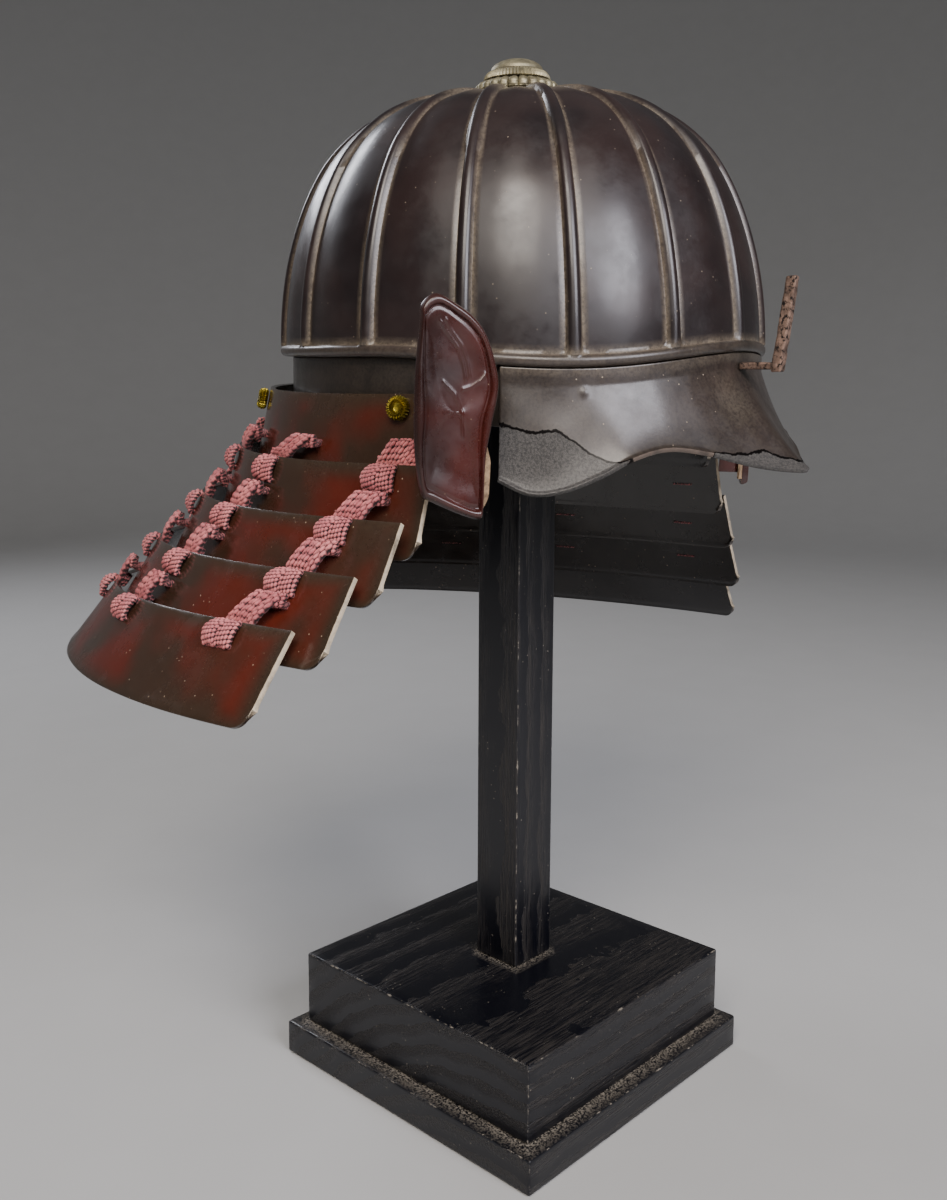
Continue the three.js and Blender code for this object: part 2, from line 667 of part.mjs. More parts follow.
function assembleNeckGuard(holes) {
  const group = new THREE.Group();
  group.position.z = NECK.level;
  LAMES.forEach((lame, index) => {
    const tools = [...slotsOf(lame), ...(index === 0 ? holes : [])];
    group.add(named(`neck_lame_${index + 1}`, cut(lameSheet(lame), tools), MATERIALS.redLacquer));
  });
  range(LACING.columns).forEach((column) => {
    group.add(named(`lacing_${column + 1}`, makeLacing(column), MATERIALS.silk));
  });
  ROSETTE.angles.forEach((degrees, index) => {
    group.add(named(`rosette_${index + 1}`, makeRosette(degrees), MATERIALS.gilt));
  });
  group.add(named('turnback_right', makeWing(-1), MATERIALS.redLacquer));
  group.add(named('turnback_left', makeWing(1), MATERIALS.redLacquer));
  return group;
}

const rivetHoles = ROSETTE.angles.map(rosetteHole);
const helmetOnStand = new THREE.Group();
helmetOnStand.add(assembleStand(), assembleBowl(rivetHoles), assembleNeckGuard(rivetHoles));

export default helmetOnStand;
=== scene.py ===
"""Samurai helmet on a plain wooden display stand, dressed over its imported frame."""
import logging
import math
from dataclasses import dataclass, field
from enum import Enum
from typing import Callable, Sequence

import bpy
from mathutils import Matrix, Vector, noise


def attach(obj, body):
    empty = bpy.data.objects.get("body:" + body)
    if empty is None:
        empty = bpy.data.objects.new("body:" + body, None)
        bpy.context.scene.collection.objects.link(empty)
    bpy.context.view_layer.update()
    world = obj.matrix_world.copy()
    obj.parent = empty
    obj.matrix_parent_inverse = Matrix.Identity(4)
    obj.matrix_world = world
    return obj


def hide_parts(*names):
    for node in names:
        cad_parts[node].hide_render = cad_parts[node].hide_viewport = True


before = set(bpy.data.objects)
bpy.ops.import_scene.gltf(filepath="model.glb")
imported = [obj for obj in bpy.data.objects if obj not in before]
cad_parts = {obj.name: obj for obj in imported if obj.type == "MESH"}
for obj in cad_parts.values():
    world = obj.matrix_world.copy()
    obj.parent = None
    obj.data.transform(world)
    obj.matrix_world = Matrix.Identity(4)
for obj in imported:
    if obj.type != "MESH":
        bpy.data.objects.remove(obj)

log = logging.getLogger("helmet")

MM = 0.001
GAP = 0.3
FAR = 99.0
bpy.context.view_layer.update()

Mesh = bpy.types.Object
Tree = bpy.types.NodeTree
Socket = bpy.types.NodeSocket
Shape = Callable[[float, float], Vector]
Mark = Callable[[float, float], float]
Wave = Callable[[float, float, float], tuple[float, float]]


# ---- Small helpers ----------------------------------------------------------------------


def clamp(value: float, low: float = 0.0, high: float = 1.0) -> float:
    """Returns the value held between two limits."""
    return max(low, min(high, value))


def mix(start: float, end: float, share: float) -> float:
    """Returns the value a share of the way from start to end."""
    return start + (end - start) * share


def smooth_step(low: float, high: float, value: float) -> float:
    """Returns 0 below low and 1 above high, with a smooth rise between them."""
    t = clamp((value - low) / (high - low))
    return t * t * (3 - 2 * t)


def ripple(point: Vector, size: float, seed: float = 0.0) -> float:
    """Returns smooth noise from about -1 to 1 whose features have a size, both in mm."""
    return noise.noise(point / size + Vector((seed, seed * 1.7, -seed)))


def deselect_all() -> None:
    """Deselects every object, so that an operator acts on the new piece alone."""
    bpy.ops.object.select_all(action="DESELECT")


def choose(obj: Mesh) -> None:
    """Makes one object the only selected and the active one."""
    deselect_all()
    obj.select_set(True)
    bpy.context.view_layer.objects.active = obj


def apply_modifier(obj: Mesh, kind: str, **settings: object) -> None:
    """Adds a modifier to an object and applies it.

    Args:
        obj: the object to change.
        kind: the modifier's type.
        settings: the modifier's own settings.
    """
    choose(obj)
    modifier = obj.modifiers.new(kind.title(), kind)
    for key, value in settings.items():
        setattr(modifier, key, value)
    bpy.ops.object.modifier_apply(modifier=modifier.name)


def grid(name: str, columns: int, rows: int, shape: Shape, marks: dict[str, Mark] | None = None,
         around: bool = False) -> Mesh:
    """Models a sheet: a flat grid whose corners are moved to a curved surface.

    Args:
        name: the piece's name.
        columns: steps across.
        rows: steps down.
        shape: gives a point in mm for shares across and down.
        marks: named values kept at each point for the materials.
        around: joins the last column to the first.

    Returns:
        The sheet, in metres.
    """
    deselect_all()
    bpy.ops.mesh.primitive_grid_add(x_subdivisions=columns, y_subdivisions=rows, size=2)
    sheet = bpy.context.object
    sheet.name = name
    mesh = sheet.data
    shares = [((v.co.x + 1) / 2, (v.co.y + 1) / 2) for v in mesh.vertices]
    for vertex, (across, down) in zip(mesh.vertices, shares):
        vertex.co = shape(across, down) * MM
    for key, mark in (marks or {}).items():
        layer = mesh.attributes.new(key, "FLOAT", "POINT")
        layer.data.foreach_set("value", [mark(across, down) for across, down in shares])
    if around:
        bpy.ops.object.mode_set(mode="EDIT")
        bpy.ops.mesh.select_all(action="SELECT")
        bpy.ops.mesh.remove_doubles(threshold=1e-6)
        bpy.ops.object.mode_set(mode="OBJECT")
    return sheet


def subdivide(obj: Mesh, *cuts: int) -> None:
    """Cuts every edge of a piece into equal lengths, once for each number of cuts.

    Args:
        obj: the piece to change.
        cuts: how many cuts each round makes in an edge.
    """
    choose(obj)
    bpy.ops.object.mode_set(mode="EDIT")
    bpy.ops.mesh.select_all(action="SELECT")
    for number in cuts:
        bpy.ops.mesh.subdivide(number_cuts=number)
    bpy.ops.object.mode_set(mode="OBJECT")


def box(name: str, low: Vector, high: Vector) -> Mesh:
    """Models a box between two corners in mm.

    Args:
        name: the piece's name.
        low: its lower corner in mm.
        high: its upper corner in mm.

    Returns:
        The box.
    """
    deselect_all()
    bpy.ops.mesh.primitive_cube_add(size=1)
    cube = bpy.context.object
    cube.name = name
    cube.data.transform(Matrix.Diagonal((*((high - low) * MM), 1)))
    cube.data.transform(Matrix.Translation((low + high) / 2 * MM))
    return cube


def face_out(obj: Mesh, centre: Vector) -> None:
    """Turns an open sheet's faces away from a centre point, given in mm.

    Args:
        obj: the sheet.
        centre: the point in mm.
    """
    mesh = obj.data
    away = sum((p.normal.dot(p.center - centre * MM) * p.area for p in mesh.polygons), 0.0)
    if away < 0:
        mesh.flip_normals()


def thicken(obj: Mesh, wall: float, edge: float = 0.0) -> None:
    """Gives an open sheet its wall, inward from its faces, and rounds the new edges.

    Args:
        obj: the sheet.
        wall: thickness in mm.
        edge: width of the rounded edges in mm, or 0 for sharp ones.
    """
    apply_modifier(obj, "SOLIDIFY", thickness=wall * MM, offset=-1.0, use_even_offset=False)
    if edge:
        apply_modifier(obj, "BEVEL", width=edge * MM, segments=2, limit_method="ANGLE",
                       angle_limit=math.radians(50))


def join(name: str, objects: Sequence[Mesh]) -> Mesh:
    """Joins several meshes into one piece with a name.

    Args:
        name: the piece's name.
        objects: the meshes.

    Returns:
        The joined piece.
    """
    choose(objects[0])
    for obj in objects:
        obj.select_set(True)
    bpy.ops.object.join()
    piece = bpy.context.object
    piece.name = name
    return piece


def settle(obj: Mesh, transform: Matrix | None = None) -> None:
    """Moves a piece's place into its mesh, after an optional transform."""
    obj.data.transform((transform or Matrix.Identity(4)) @ obj.matrix_world)
    obj.matrix_world = Matrix.Identity(4)


def smooth(obj: Mesh, degrees: float = 40.0) -> None:
    """Shades a piece smooth except across edges sharper than an angle."""
    choose(obj)
    bpy.ops.object.shade_smooth_by_angle(angle=math.radians(degrees))


def put(piece: Mesh, material: bpy.types.Material, slot: str, *nodes: str) -> None:
    """Gives a piece its finish, and sets it in the place of its CAD nodes.

    Args:
        piece: the finished mesh, whose object sits at the origin.
        material: its finish.
        slot: the record's material slot; not used.
        nodes: the CAD nodes that it stands for.
    """
    piece.data.materials.clear()
    piece.data.materials.append(material)
    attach(piece, "root")
    if nodes:
        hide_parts(*nodes)
    log.info("%s: %d faces", piece.name, len(piece.data.polygons))


# ---- Materials --------------------------------------------------------------------------


def linear(hex_colour: str) -> tuple[float, float, float, float]:
    """Turns an sRGB hex colour such as "#a1636d" into linear RGBA."""
    channels = [int(hex_colour[i:i + 2], 16) / 255 for i in (1, 3, 5)]
    red, green, blue = (c / 12.92 if c <= 0.04045 else ((c + 0.055) / 1.055) ** 2.4 for c in channels)
    return red, green, blue, 1.0


def per_metre(size_mm: float) -> float:
    """Returns the texture scale at which a pattern's features have a size in mm."""
    return 1.0 / (size_mm * MM)


# For each kind of node: the inputs that values fill in order, the output used, and its settings.
NODE_KINDS = {
    "TexCoord": ((), "Object", {}),
    "Attribute": ((), "Fac", {}),
    "Mapping": (("Vector", "Rotation", "Location", "Scale"), "Vector", {}),
    "TexNoise": (("Vector", "Scale", "Detail", "Roughness"), "Fac", {}),
    "TexVoronoi": (("Vector", "Scale"), "Distance", {}),
    "TexWave": (("Vector", "Scale", "Distortion", "Detail", "Detail Scale", "Detail Roughness"), "Fac", {}),
    "MapRange": (("Value", "From Min", "From Max", "To Min", "To Max"), "Result",
                 {"interpolation_type": "SMOOTHSTEP"}),
    "Math": ((0, 1, 2), 0, {"operation": "MULTIPLY"}),
    "Mix": ((0, 6, 7), 2, {"data_type": "RGBA"}),
    "Bump": (("Height", "Distance", "Normal"), "Normal", {}),
}


def fill(tree: Tree, node: bpy.types.Node, inputs: dict) -> None:
    """Links sockets to a node's inputs, and sets the others to numbers or hex colours.

    Args:
        tree: the material's node tree.
        node: the node to fill.
        inputs: each input's name or place, with its value or socket.
    """
    for key, value in inputs.items():
        if isinstance(value, Socket):
            tree.links.new(value, node.inputs[key])
        else:
            node.inputs[key].default_value = linear(value) if isinstance(value, str) else value


def add(tree: Tree, kind: str, *values: object, **settings: object) -> Socket:
    """Adds a node with its settings and links.

    Args:
        tree: the material's node tree.
        kind: the node's kind, as NODE_KINDS lists it.
        values: a number, vector, hex colour or linked socket for each of its inputs in order.
        settings: the node's own settings, such as a sum's operation.

    Returns:
        The socket of the output that the kind is used for.
    """
    inputs, output, shared = NODE_KINDS[kind]
    node = tree.nodes.new(f"ShaderNode{kind}")
    for key, value in {**shared, **settings}.items():
        setattr(node, key, value)
    fill(tree, node, dict(zip(inputs, values)))
    return node.outputs[output]


@dataclass(frozen=True)
class Finish:
    """A surface finish, made as a node material."""

    name: str

    def make(self) -> bpy.types.Material:
        """Builds the finish's material."""
        material = bpy.data.materials.new(self.name)
        material.use_nodes = True
        tree = material.node_tree
        fill(tree, tree.nodes["Principled BSDF"], self.paint(tree, add(tree, "TexCoord")))
        return material

    def paint(self, tree: Tree, where: Socket) -> dict:
        """Adds the finish's nodes.

        Args:
            tree: the material's node tree.
            where: the socket of object coordinates in metres.

        Returns:
            The shader's inputs, each with its value or socket.
        """
        raise NotImplementedError


@dataclass(frozen=True)
class Lacquer(Finish):
    """Hand-polished urushi lacquer: a deep glossy skin with dust, specks and worn edges.

    It reads the marks dust (0 to 1), edge (mm to the nearest free edge), bare (above about 0.6
    where the lacquer is lost) and the inner-shade mark (1 on a face turned inward, painted near black as
    shade).
    """

    deep: str = "#120e0e"
    warm: str = "#241c19"
    dust: str = "#5d5245"
    chip: str = "#c9b8a4"
    gloss: float = 0.34
    dust_amount: float = 0.4
    speck_amount: float = 0.5
    bare: str = "#4b4845"
    ground: str = "#2b2928"
    crack: str = "#0d0b0b"
    # Near-black painted shade for the faces turned inward.
    inner_shade: str = "#0b0706"
    edge_tone: str = "#1a1210"
    edge_reach: float = 9.0
    wear_reach: float = 3.0

    def paint(self, tree: Tree, where: Socket) -> dict:
        """Adds the lacquer's nodes and returns the shader's inputs.

        Args:
            tree: the material's node tree.
            where: the socket of object coordinates in metres.

        Returns:
            The shader's inputs, each with its value or socket.
        """
        # The noises' feature size in mm, detail and roughness.
        cloud, fine, patch, grit, polish, cluster = (
            add(tree, "TexNoise", where, per_metre(size), detail, rough)
            for size, detail, rough in ((34, 2, 0.45), (1.3, 3, 0.7), (7, 4, 0.65),
                                        (1, 4, 0.75), (18, 5, 0.7), (11, 2, 0.55)))
        edge, corner, bare, inner_shade = (add(tree, "Attribute", attribute_name=key)
                                      for key in ("edge", "dust", "bare", "inner_shade"))
        colour = add(tree, "Mix", add(tree, "MapRange", cloud, 0.35, 0.68), self.deep, self.warm)
        uneven = add(tree, "Math", cloud, -8.0, edge, operation="MULTIPLY_ADD")
        near = add(tree, "MapRange", uneven, self.edge_reach - 4, -5.0)
        colour = add(tree, "Mix", near, colour, self.edge_tone)
        # Painted shade: faces turned inward, inside the neck guard, are painted near black.
        colour = add(tree, "Mix", inner_shade, colour, self.inner_shade)

        # Grey-brown dust lies in the corners beside ribs and beads, and pale specks in clusters.
        dust = corner
        speck = add(tree, "MapRange", add(tree, "TexVoronoi", where, per_metre(4.2)), 0.09, 0.05)
        for factor in (add(tree, "MapRange", patch, 0.2, 0.6, 0.45, 1.0),
                       add(tree, "MapRange", fine, 0.3, 0.62, 0.35, 1.0), self.dust_amount):
            dust = add(tree, "Math", dust, factor)
        for factor in (add(tree, "MapRange", cluster, 0.44, 0.62), self.speck_amount):
            speck = add(tree, "Math", speck, factor)
        pale = add(tree, "Math", dust, speck, operation="MAXIMUM")
        colour = add(tree, "Mix", pale, colour, self.dust)

        # The lacquer is worn thin and chipped along its free edges.
        reach = add(tree, "Math", patch, self.wear_reach, -self.wear_reach / 2, operation="MULTIPLY_ADD")
        wear = add(tree, "MapRange", add(tree, "Math", edge, reach, operation="SUBTRACT"), 0.35, -0.1)
        colour = add(tree, "Mix", wear, colour, self.chip)

        # Where the lacquer is lost, its grainy ground shows behind a dark crack.
        loss = add(tree, "Math", patch, 0.6, bare, operation="MULTIPLY_ADD")
        lost = add(tree, "MapRange", loss, 0.9, 0.94)
        crack = add(tree, "Math", add(tree, "MapRange", loss, 0.76, 0.8), lost, operation="SUBTRACT")
        ground = add(tree, "Mix", add(tree, "MapRange", grit, 0.36, 0.62), self.ground, self.bare)
        colour = add(tree, "Mix", lost, colour, ground)
        colour = add(tree, "Mix", crack, colour, self.crack)

        dull = pale
        for share in (lost, wear):
            dull = add(tree, "Math", dull, share, operation="MAXIMUM")
        polished = add(tree, "MapRange", polish, 0.3, 0.75, self.gloss - 0.06, self.gloss + 0.14)
        rough = add(tree, "Math", polished, add(tree, "Math", dull, 0.75), operation="MAXIMUM")
        tooth = add(tree, "Math", fine, add(tree, "Math", dull, 0.12, operation="ADD"))
        step = add(tree, "Math", lost, -0.7, add(tree, "Math", grit, lost), operation="MULTIPLY_ADD")
        normal = add(tree, "Bump", cloud, 0.5 * MM)
        for height, depth in ((tooth, 0.12), (step, 0.6)):
            normal = add(tree, "Bump", height, depth * MM, normal)
        return {"Base Color": colour, "Roughness": rough, "Normal": normal, "IOR": 1.52,
                "Specular IOR Level": add(tree, "Math", crack, -0.5, 0.5, operation="MULTIPLY_ADD"),
                "Coat Weight": 0.25, "Coat Roughness": 0.18}


@dataclass(frozen=True)
class SilkBraid(Finish):
    """Plaited silk cord: a soft dusty rose thread, with painted shade making its hollows nearly black.

    It reads the mark hollow, painted shade that is 1 at the bottom of the twist and high on the cord's flanks
    and underside. The fibres are drawn coarse to show.
    """

    light: str = "#d4797a"
    dark: str = "#ad555c"
    shine: str = "#cf9a94"
    hollow: str = "#1c0609"

    def paint(self, tree: Tree, where: Socket) -> dict:
        """Adds the silk's nodes and returns the shader's inputs.

        Args:
            tree: the material's node tree.
            where: the socket of object coordinates in metres.

        Returns:
            The shader's inputs, each with its value or socket.
        """
        fibre = add(tree, "TexNoise", where, per_metre(0.5), 2, 0.6)
        patch = add(tree, "TexNoise", where, per_metre(9), 3, 0.55)
        colour = add(tree, "Mix", add(tree, "MapRange", patch, 0.3, 0.7), self.light, self.dark)
        colour = add(tree, "Mix", add(tree, "MapRange", fibre, 0.35, 0.75, 0.0, 0.3), colour, self.shine)
        # Painted shade: the silk turns nearly black where the mark says the cord is in shade.
        hollow = add(tree, "MapRange", add(tree, "Attribute", attribute_name="hollow"), 0.35, 0.95)
        colour = add(tree, "Mix", hollow, colour, self.hollow)
        return {"Base Color": colour, "Normal": add(tree, "Bump", fibre, 0.12 * MM), "Roughness": 0.72,
                "Sheen Weight": 0.1, "Sheen Roughness": 0.45}


@dataclass(frozen=True)
class OldMetal(Finish):
    """Cast or beaten metal with dirt in its hollows."""

    bright: str
    dull: str
    dirt: str
    rough: float
    metallic: float
    dirt_size: float
    dirt_from: float

    def paint(self, tree: Tree, where: Socket) -> dict:
        """Adds the metal's nodes and returns the shader's inputs.

        Args:
            tree: the material's node tree.
            where: the socket of object coordinates in metres.

        Returns:
            The shader's inputs, each with its value or socket.
        """
        patch = add(tree, "TexNoise", where, per_metre(5), 4, 0.65)
        fine = add(tree, "TexNoise", where, per_metre(self.dirt_size), 5, 0.7)
        colour = add(tree, "Mix", add(tree, "MapRange", patch, 0.3, 0.7), self.bright, self.dull)
        dirty = add(tree, "MapRange", fine, self.dirt_from, self.dirt_from + 0.14)
        return {"Base Color": add(tree, "Mix", dirty, colour, self.dirt), "Metallic": self.metallic,
                "Roughness": add(tree, "MapRange", fine, 0.3, 0.75, self.rough, self.rough + 0.3),
                "Normal": add(tree, "Bump", fine, 0.16 * MM)}


@dataclass(frozen=True)
class StainedWood(Finish):
    """Ebonised hardwood: stained black with a slight blue tint of painted reflection, letting the open grain
    catch the light.

    It reads the marks edge (mm to the nearest worn corner) and dust (0 to 1).
    """

    # Ebonised black with a slight blue tint, a painted reflection of a bluish light.
    stain_and_blue_reflection: str = "#0a0b12"
    grain_light: str = "#35312e"
    worn: str = "#8f877b"
    turn: float = 0.0
    upright: bool = False
    ring_spacing: float = 9.71
    heart: tuple[float, float, float] = (0.0, 0.06, 0.11)

    def paint(self, tree: Tree, where: Socket) -> dict:
        """Adds the wood's nodes and returns the shader's inputs.

        Args:
            tree: the material's node tree.
            where: the socket of object coordinates in metres.

        Returns:
            The shader's inputs, each with its value or socket.
        """
        straight = add(tree, "Mapping", where, (0.0, 0.0, -self.turn))
        lie = (0.0, math.pi / 2 if self.upright else 0.0, 0.0)
        turned = add(tree, "Mapping", straight, lie, self.heart)
        # A wave texture repeats every tau / 20 at a scale of 1.
        rings = add(tree, "TexWave", turned, per_metre(self.ring_spacing) * math.tau / 20, 3.2, 3.0, 1.2, 0.6,
                    wave_type="RINGS", rings_direction="X", wave_profile="SAW")
        stretched = add(tree, "Mapping", turned, (0.0, 0.0, 0.0), (0.0, 0.0, 0.0), (0.06, 1.0, 1.0))
        # The noises' place, feature size in mm, detail and roughness.
        pores, rub, cluster, lint = (
            add(tree, "TexNoise", place, per_metre(size), detail, rough)
            for place, size, detail, rough in ((stretched, 0.9, 3, 0.6), (where, 5, 4, 0.7),
                                               (where, 14, 2, 0.55), (where, 0.8, 2, 0.55)))
        figure = add(tree, "Math", add(tree, "MapRange", rings, 0.2, 0.9),
                     add(tree, "MapRange", pores, 0.35, 0.7))
        colour = add(tree, "Mix", add(tree, "Math", figure, 0.75), self.stain_and_blue_reflection, self.grain_light)

        # Rubbed corners, specks and the dust that lies on the ledges are all pale.
        edge, ledge = (add(tree, "Attribute", attribute_name=key) for key in ("edge", "dust"))
        reach = add(tree, "Math", rub, 3.2, -1.55, operation="MULTIPLY_ADD")
        worn = add(tree, "MapRange", add(tree, "Math", edge, reach, operation="SUBTRACT"), 0.3, -0.2)
        specks = add(tree, "MapRange", add(tree, "TexVoronoi", where, per_metre(3.5)), 0.11, 0.06)
        pale = add(tree, "Math", worn, 0.7)
        for share in (add(tree, "Math", specks, add(tree, "MapRange", cluster, 0.42, 0.62, 0.0, 0.8)),
                      add(tree, "Math", ledge, add(tree, "MapRange", lint, 0.4, 0.62))):
            pale = add(tree, "Math", pale, share, operation="MAXIMUM")
        rough = add(tree, "Math", add(tree, "MapRange", figure, 0.0, 0.8, 0.3, 0.5),
                    add(tree, "Math", pale, 0.8), operation="MAXIMUM")
        return {"Base Color": add(tree, "Mix", pale, colour, self.worn), "Roughness": rough,
                "Normal": add(tree, "Bump", figure, 0.25 * MM)}


@dataclass(frozen=True)
class Mottled(Finish):
    """A matt surface in two close tones, such as rough leather or studio paint."""

    base: str
    dark: str
    size: float
    detail: float
    noise_rough: float
    low: float
    high: float
    rough: float
    depth: float = 0.0

    def paint(self, tree: Tree, where: Socket) -> dict:
        """Adds the surface's nodes and returns the shader's inputs.

        Args:
            tree: the material's node tree.
            where: the socket of object coordinates in metres.

        Returns:
            The shader's inputs, each with its value or socket.
        """
        patch = add(tree, "TexNoise", where, per_metre(self.size), self.detail, self.noise_rough)
        colour = add(tree, "Mix", add(tree, "MapRange", patch, self.low, self.high), self.base, self.dark)
        inputs = {"Base Color": colour, "Roughness": self.rough}
        if self.depth:
            inputs["Normal"] = add(tree, "Bump", patch, self.depth * MM)
        return inputs


# ---- The object's lacquers, metals, silk and wood ---------------------------------------

# Brown-black urushi over iron: a soft, cloudy shine with grey-brown dust in the corners.
BLACK_LACQUER = Lacquer("brown_black_urushi_lacquer", deep="#1b1415", warm="#271c1b", gloss=0.35,
                        dust="#9a8c78", dust_amount=0.55)
# The same lacquer on the peak, where wear and a lost skin show its grey ground.
PEAK_LACQUER = Lacquer("worn_black_urushi_lacquer", deep="#191213", warm="#251c1b", gloss=0.34,
                       dust="#9c8f7c", chip="#5d5047", wear_reach=1.2, dust_amount=0.25, speck_amount=0.9)
# Duller lacquer on the band, dark under its dust.
BAND_LACQUER = Lacquer("dusty_black_urushi_lacquer")
# Translucent tame-nuri lacquer: cinnabar glows through a brown skin, pale at worn edges.
RED_LACQUER = Lacquer("translucent_red_urushi_lacquer", deep="#33231a", warm="#54190e", gloss=0.2,
                      dust="#a08a72", chip="#c7b79f", edge_tone="#2e241b", dust_amount=0.1,
                      speck_amount=1.0, wear_reach=0.9)
# The wings' inner faces keep a deeper, purer cinnabar under the skin.
WING_LACQUER = Lacquer("cinnabar_urushi_lacquer", deep="#1c0506", warm="#40100b", gloss=0.26,
                       dust="#a08a72", chip="#a8937c", edge_tone="#2a1210", edge_reach=5.0,
                       dust_amount=0.06, speck_amount=0.7, wear_reach=1.6)
# Plaited silk: matt rose beads, with painted shade making the hollows between them nearly black.
SILK = SilkBraid("plaited_rose_silk")
# Gilt brass: yellow and still bright, with black dirt between the petals.
GILT = OldMetal("gilt_brass", bright="#b9a748", dull="#75691f", dirt="#1b170a", rough=0.26,
                metallic=1.0, dirt_size=0.9, dirt_from=0.66)
# Gilt bronze gone to an olive grey skin, soft and dusty.
BRONZE = OldMetal("dull_olive_bronze", bright="#a39c80", dull="#7b7460", dirt="#4a4434", rough=0.42,
                  metallic=0.75, dirt_size=3.0, dirt_from=0.6)
# Worn iron with copper-brown rust and black pits.
IRON = OldMetal("rusted_iron", bright="#94796a", dull="#57463d", dirt="#150f0d", rough=0.5,
                metallic=0.5, dirt_size=2.2, dirt_from=0.47)
# Buff leather, dry and rubbed, where the wing's covering has come away.
HIDE = Mottled("dry_buff_leather", base="#a58a6b", dark="#5d4a38", size=3, detail=4, noise_rough=0.7,
               low=0.35, high=0.7, rough=0.85, depth=0.3)
# Matt studio paint, almost one even tone.
FLOOR_PAINT = Mottled("matt_grey_paint", base="#b4b4b3", dark="#b8b8b7", size=60, detail=3,
                      noise_rough=0.55, low=0.0, high=1.0, rough=0.9)


# ---- Sub-assemblies ---------------------------------------------------------------------


@dataclass
class Stand:
    """The square stand, turned a little: a plinth, a block on it and a plain post."""

    turn: float = math.radians(-5.7)
    plinth_side: float = 165.0
    plinth_height: float = 16.5
    block_side: float = 150.0
    block_height: float = 36.5
    post_side: float = 27.0
    post_top: float = 467.9
    gap: float = GAP
    rounding: float = 1.1

    def make_tier(self, name: str, side: float, low: float, high: float) -> Mesh:
        """Makes one square piece of wood with softened, unevenly worn corners.

        Args:
            name: the piece's name.
            side: its side in mm.
            low: height of its underside.
            high: height of its top.

        Returns:
            The piece.
        """
        half = side / 2
        tier = box(name, Vector((-half, -half, low)), Vector((half, half, high)))
        apply_modifier(tier, "BEVEL", width=self.rounding * MM, segments=3, limit_method="ANGLE",
                       angle_limit=math.radians(30))
        subdivide(tier, 5, 3)
        self.mark(tier, half, low, high)
        settle(tier, Matrix.Rotation(self.turn, 4, "Z"))
        smooth(tier, 35)
        return tier

    def mark(self, tier: Mesh, half: float, low: float, high: float) -> None:
        """Keeps each point's distance to the nearest corner edge, and the dust on the ledge.

        Args:
            tier: the piece of wood.
            half: half its side in mm.
            low: height of its underside.
            high: height of its top.
        """
        mesh = tier.data
        edges, dust = [], []
        for vertex in mesh.vertices:
            x, y, z = (abs(vertex.co.x / MM), abs(vertex.co.y / MM), vertex.co.z / MM)
            gaps = sorted((half - x, half - y, min(high - z, z - low)))
            edges.append(gaps[1])
            on_top = smooth_step(high - 0.4, high - 0.1, z)
            inner, reach = (self.block_side / 2, 9.0) if "plinth" in tier.name else (self.post_side / 2, 5.0)
            near = smooth_step(reach, 0.5, max(x, y) - inner)
            dust.append(on_top * near * 0.8 if "post" not in tier.name else 0.0)
        for key, values in (("edge", edges), ("dust", dust)):
            mesh.attributes.new(key, "FLOAT", "POINT").data.foreach_set("value", values)

    def build(self) -> None:
        """Makes and dresses the three pieces."""
        flat = StainedWood("ebonised_oak_boards", turn=self.turn).make()
        post = StainedWood("ebonised_oak_post", turn=self.turn, upright=True).make()
        block_low = self.plinth_height + self.gap
        post_low = block_low + self.block_height + self.gap
        tiers = (("stand_plinth", self.plinth_side, 0.0, self.plinth_height),
                 ("stand_block", self.block_side, block_low, block_low + self.block_height),
                 ("stand_post", self.post_side, post_low, self.post_top))
        for node, side, low, high in tiers:
            piece = self.make_tier(f"{node}_wood", side, low, high)
            put(piece, post if node == "stand_post" else flat, "black_wood", node)


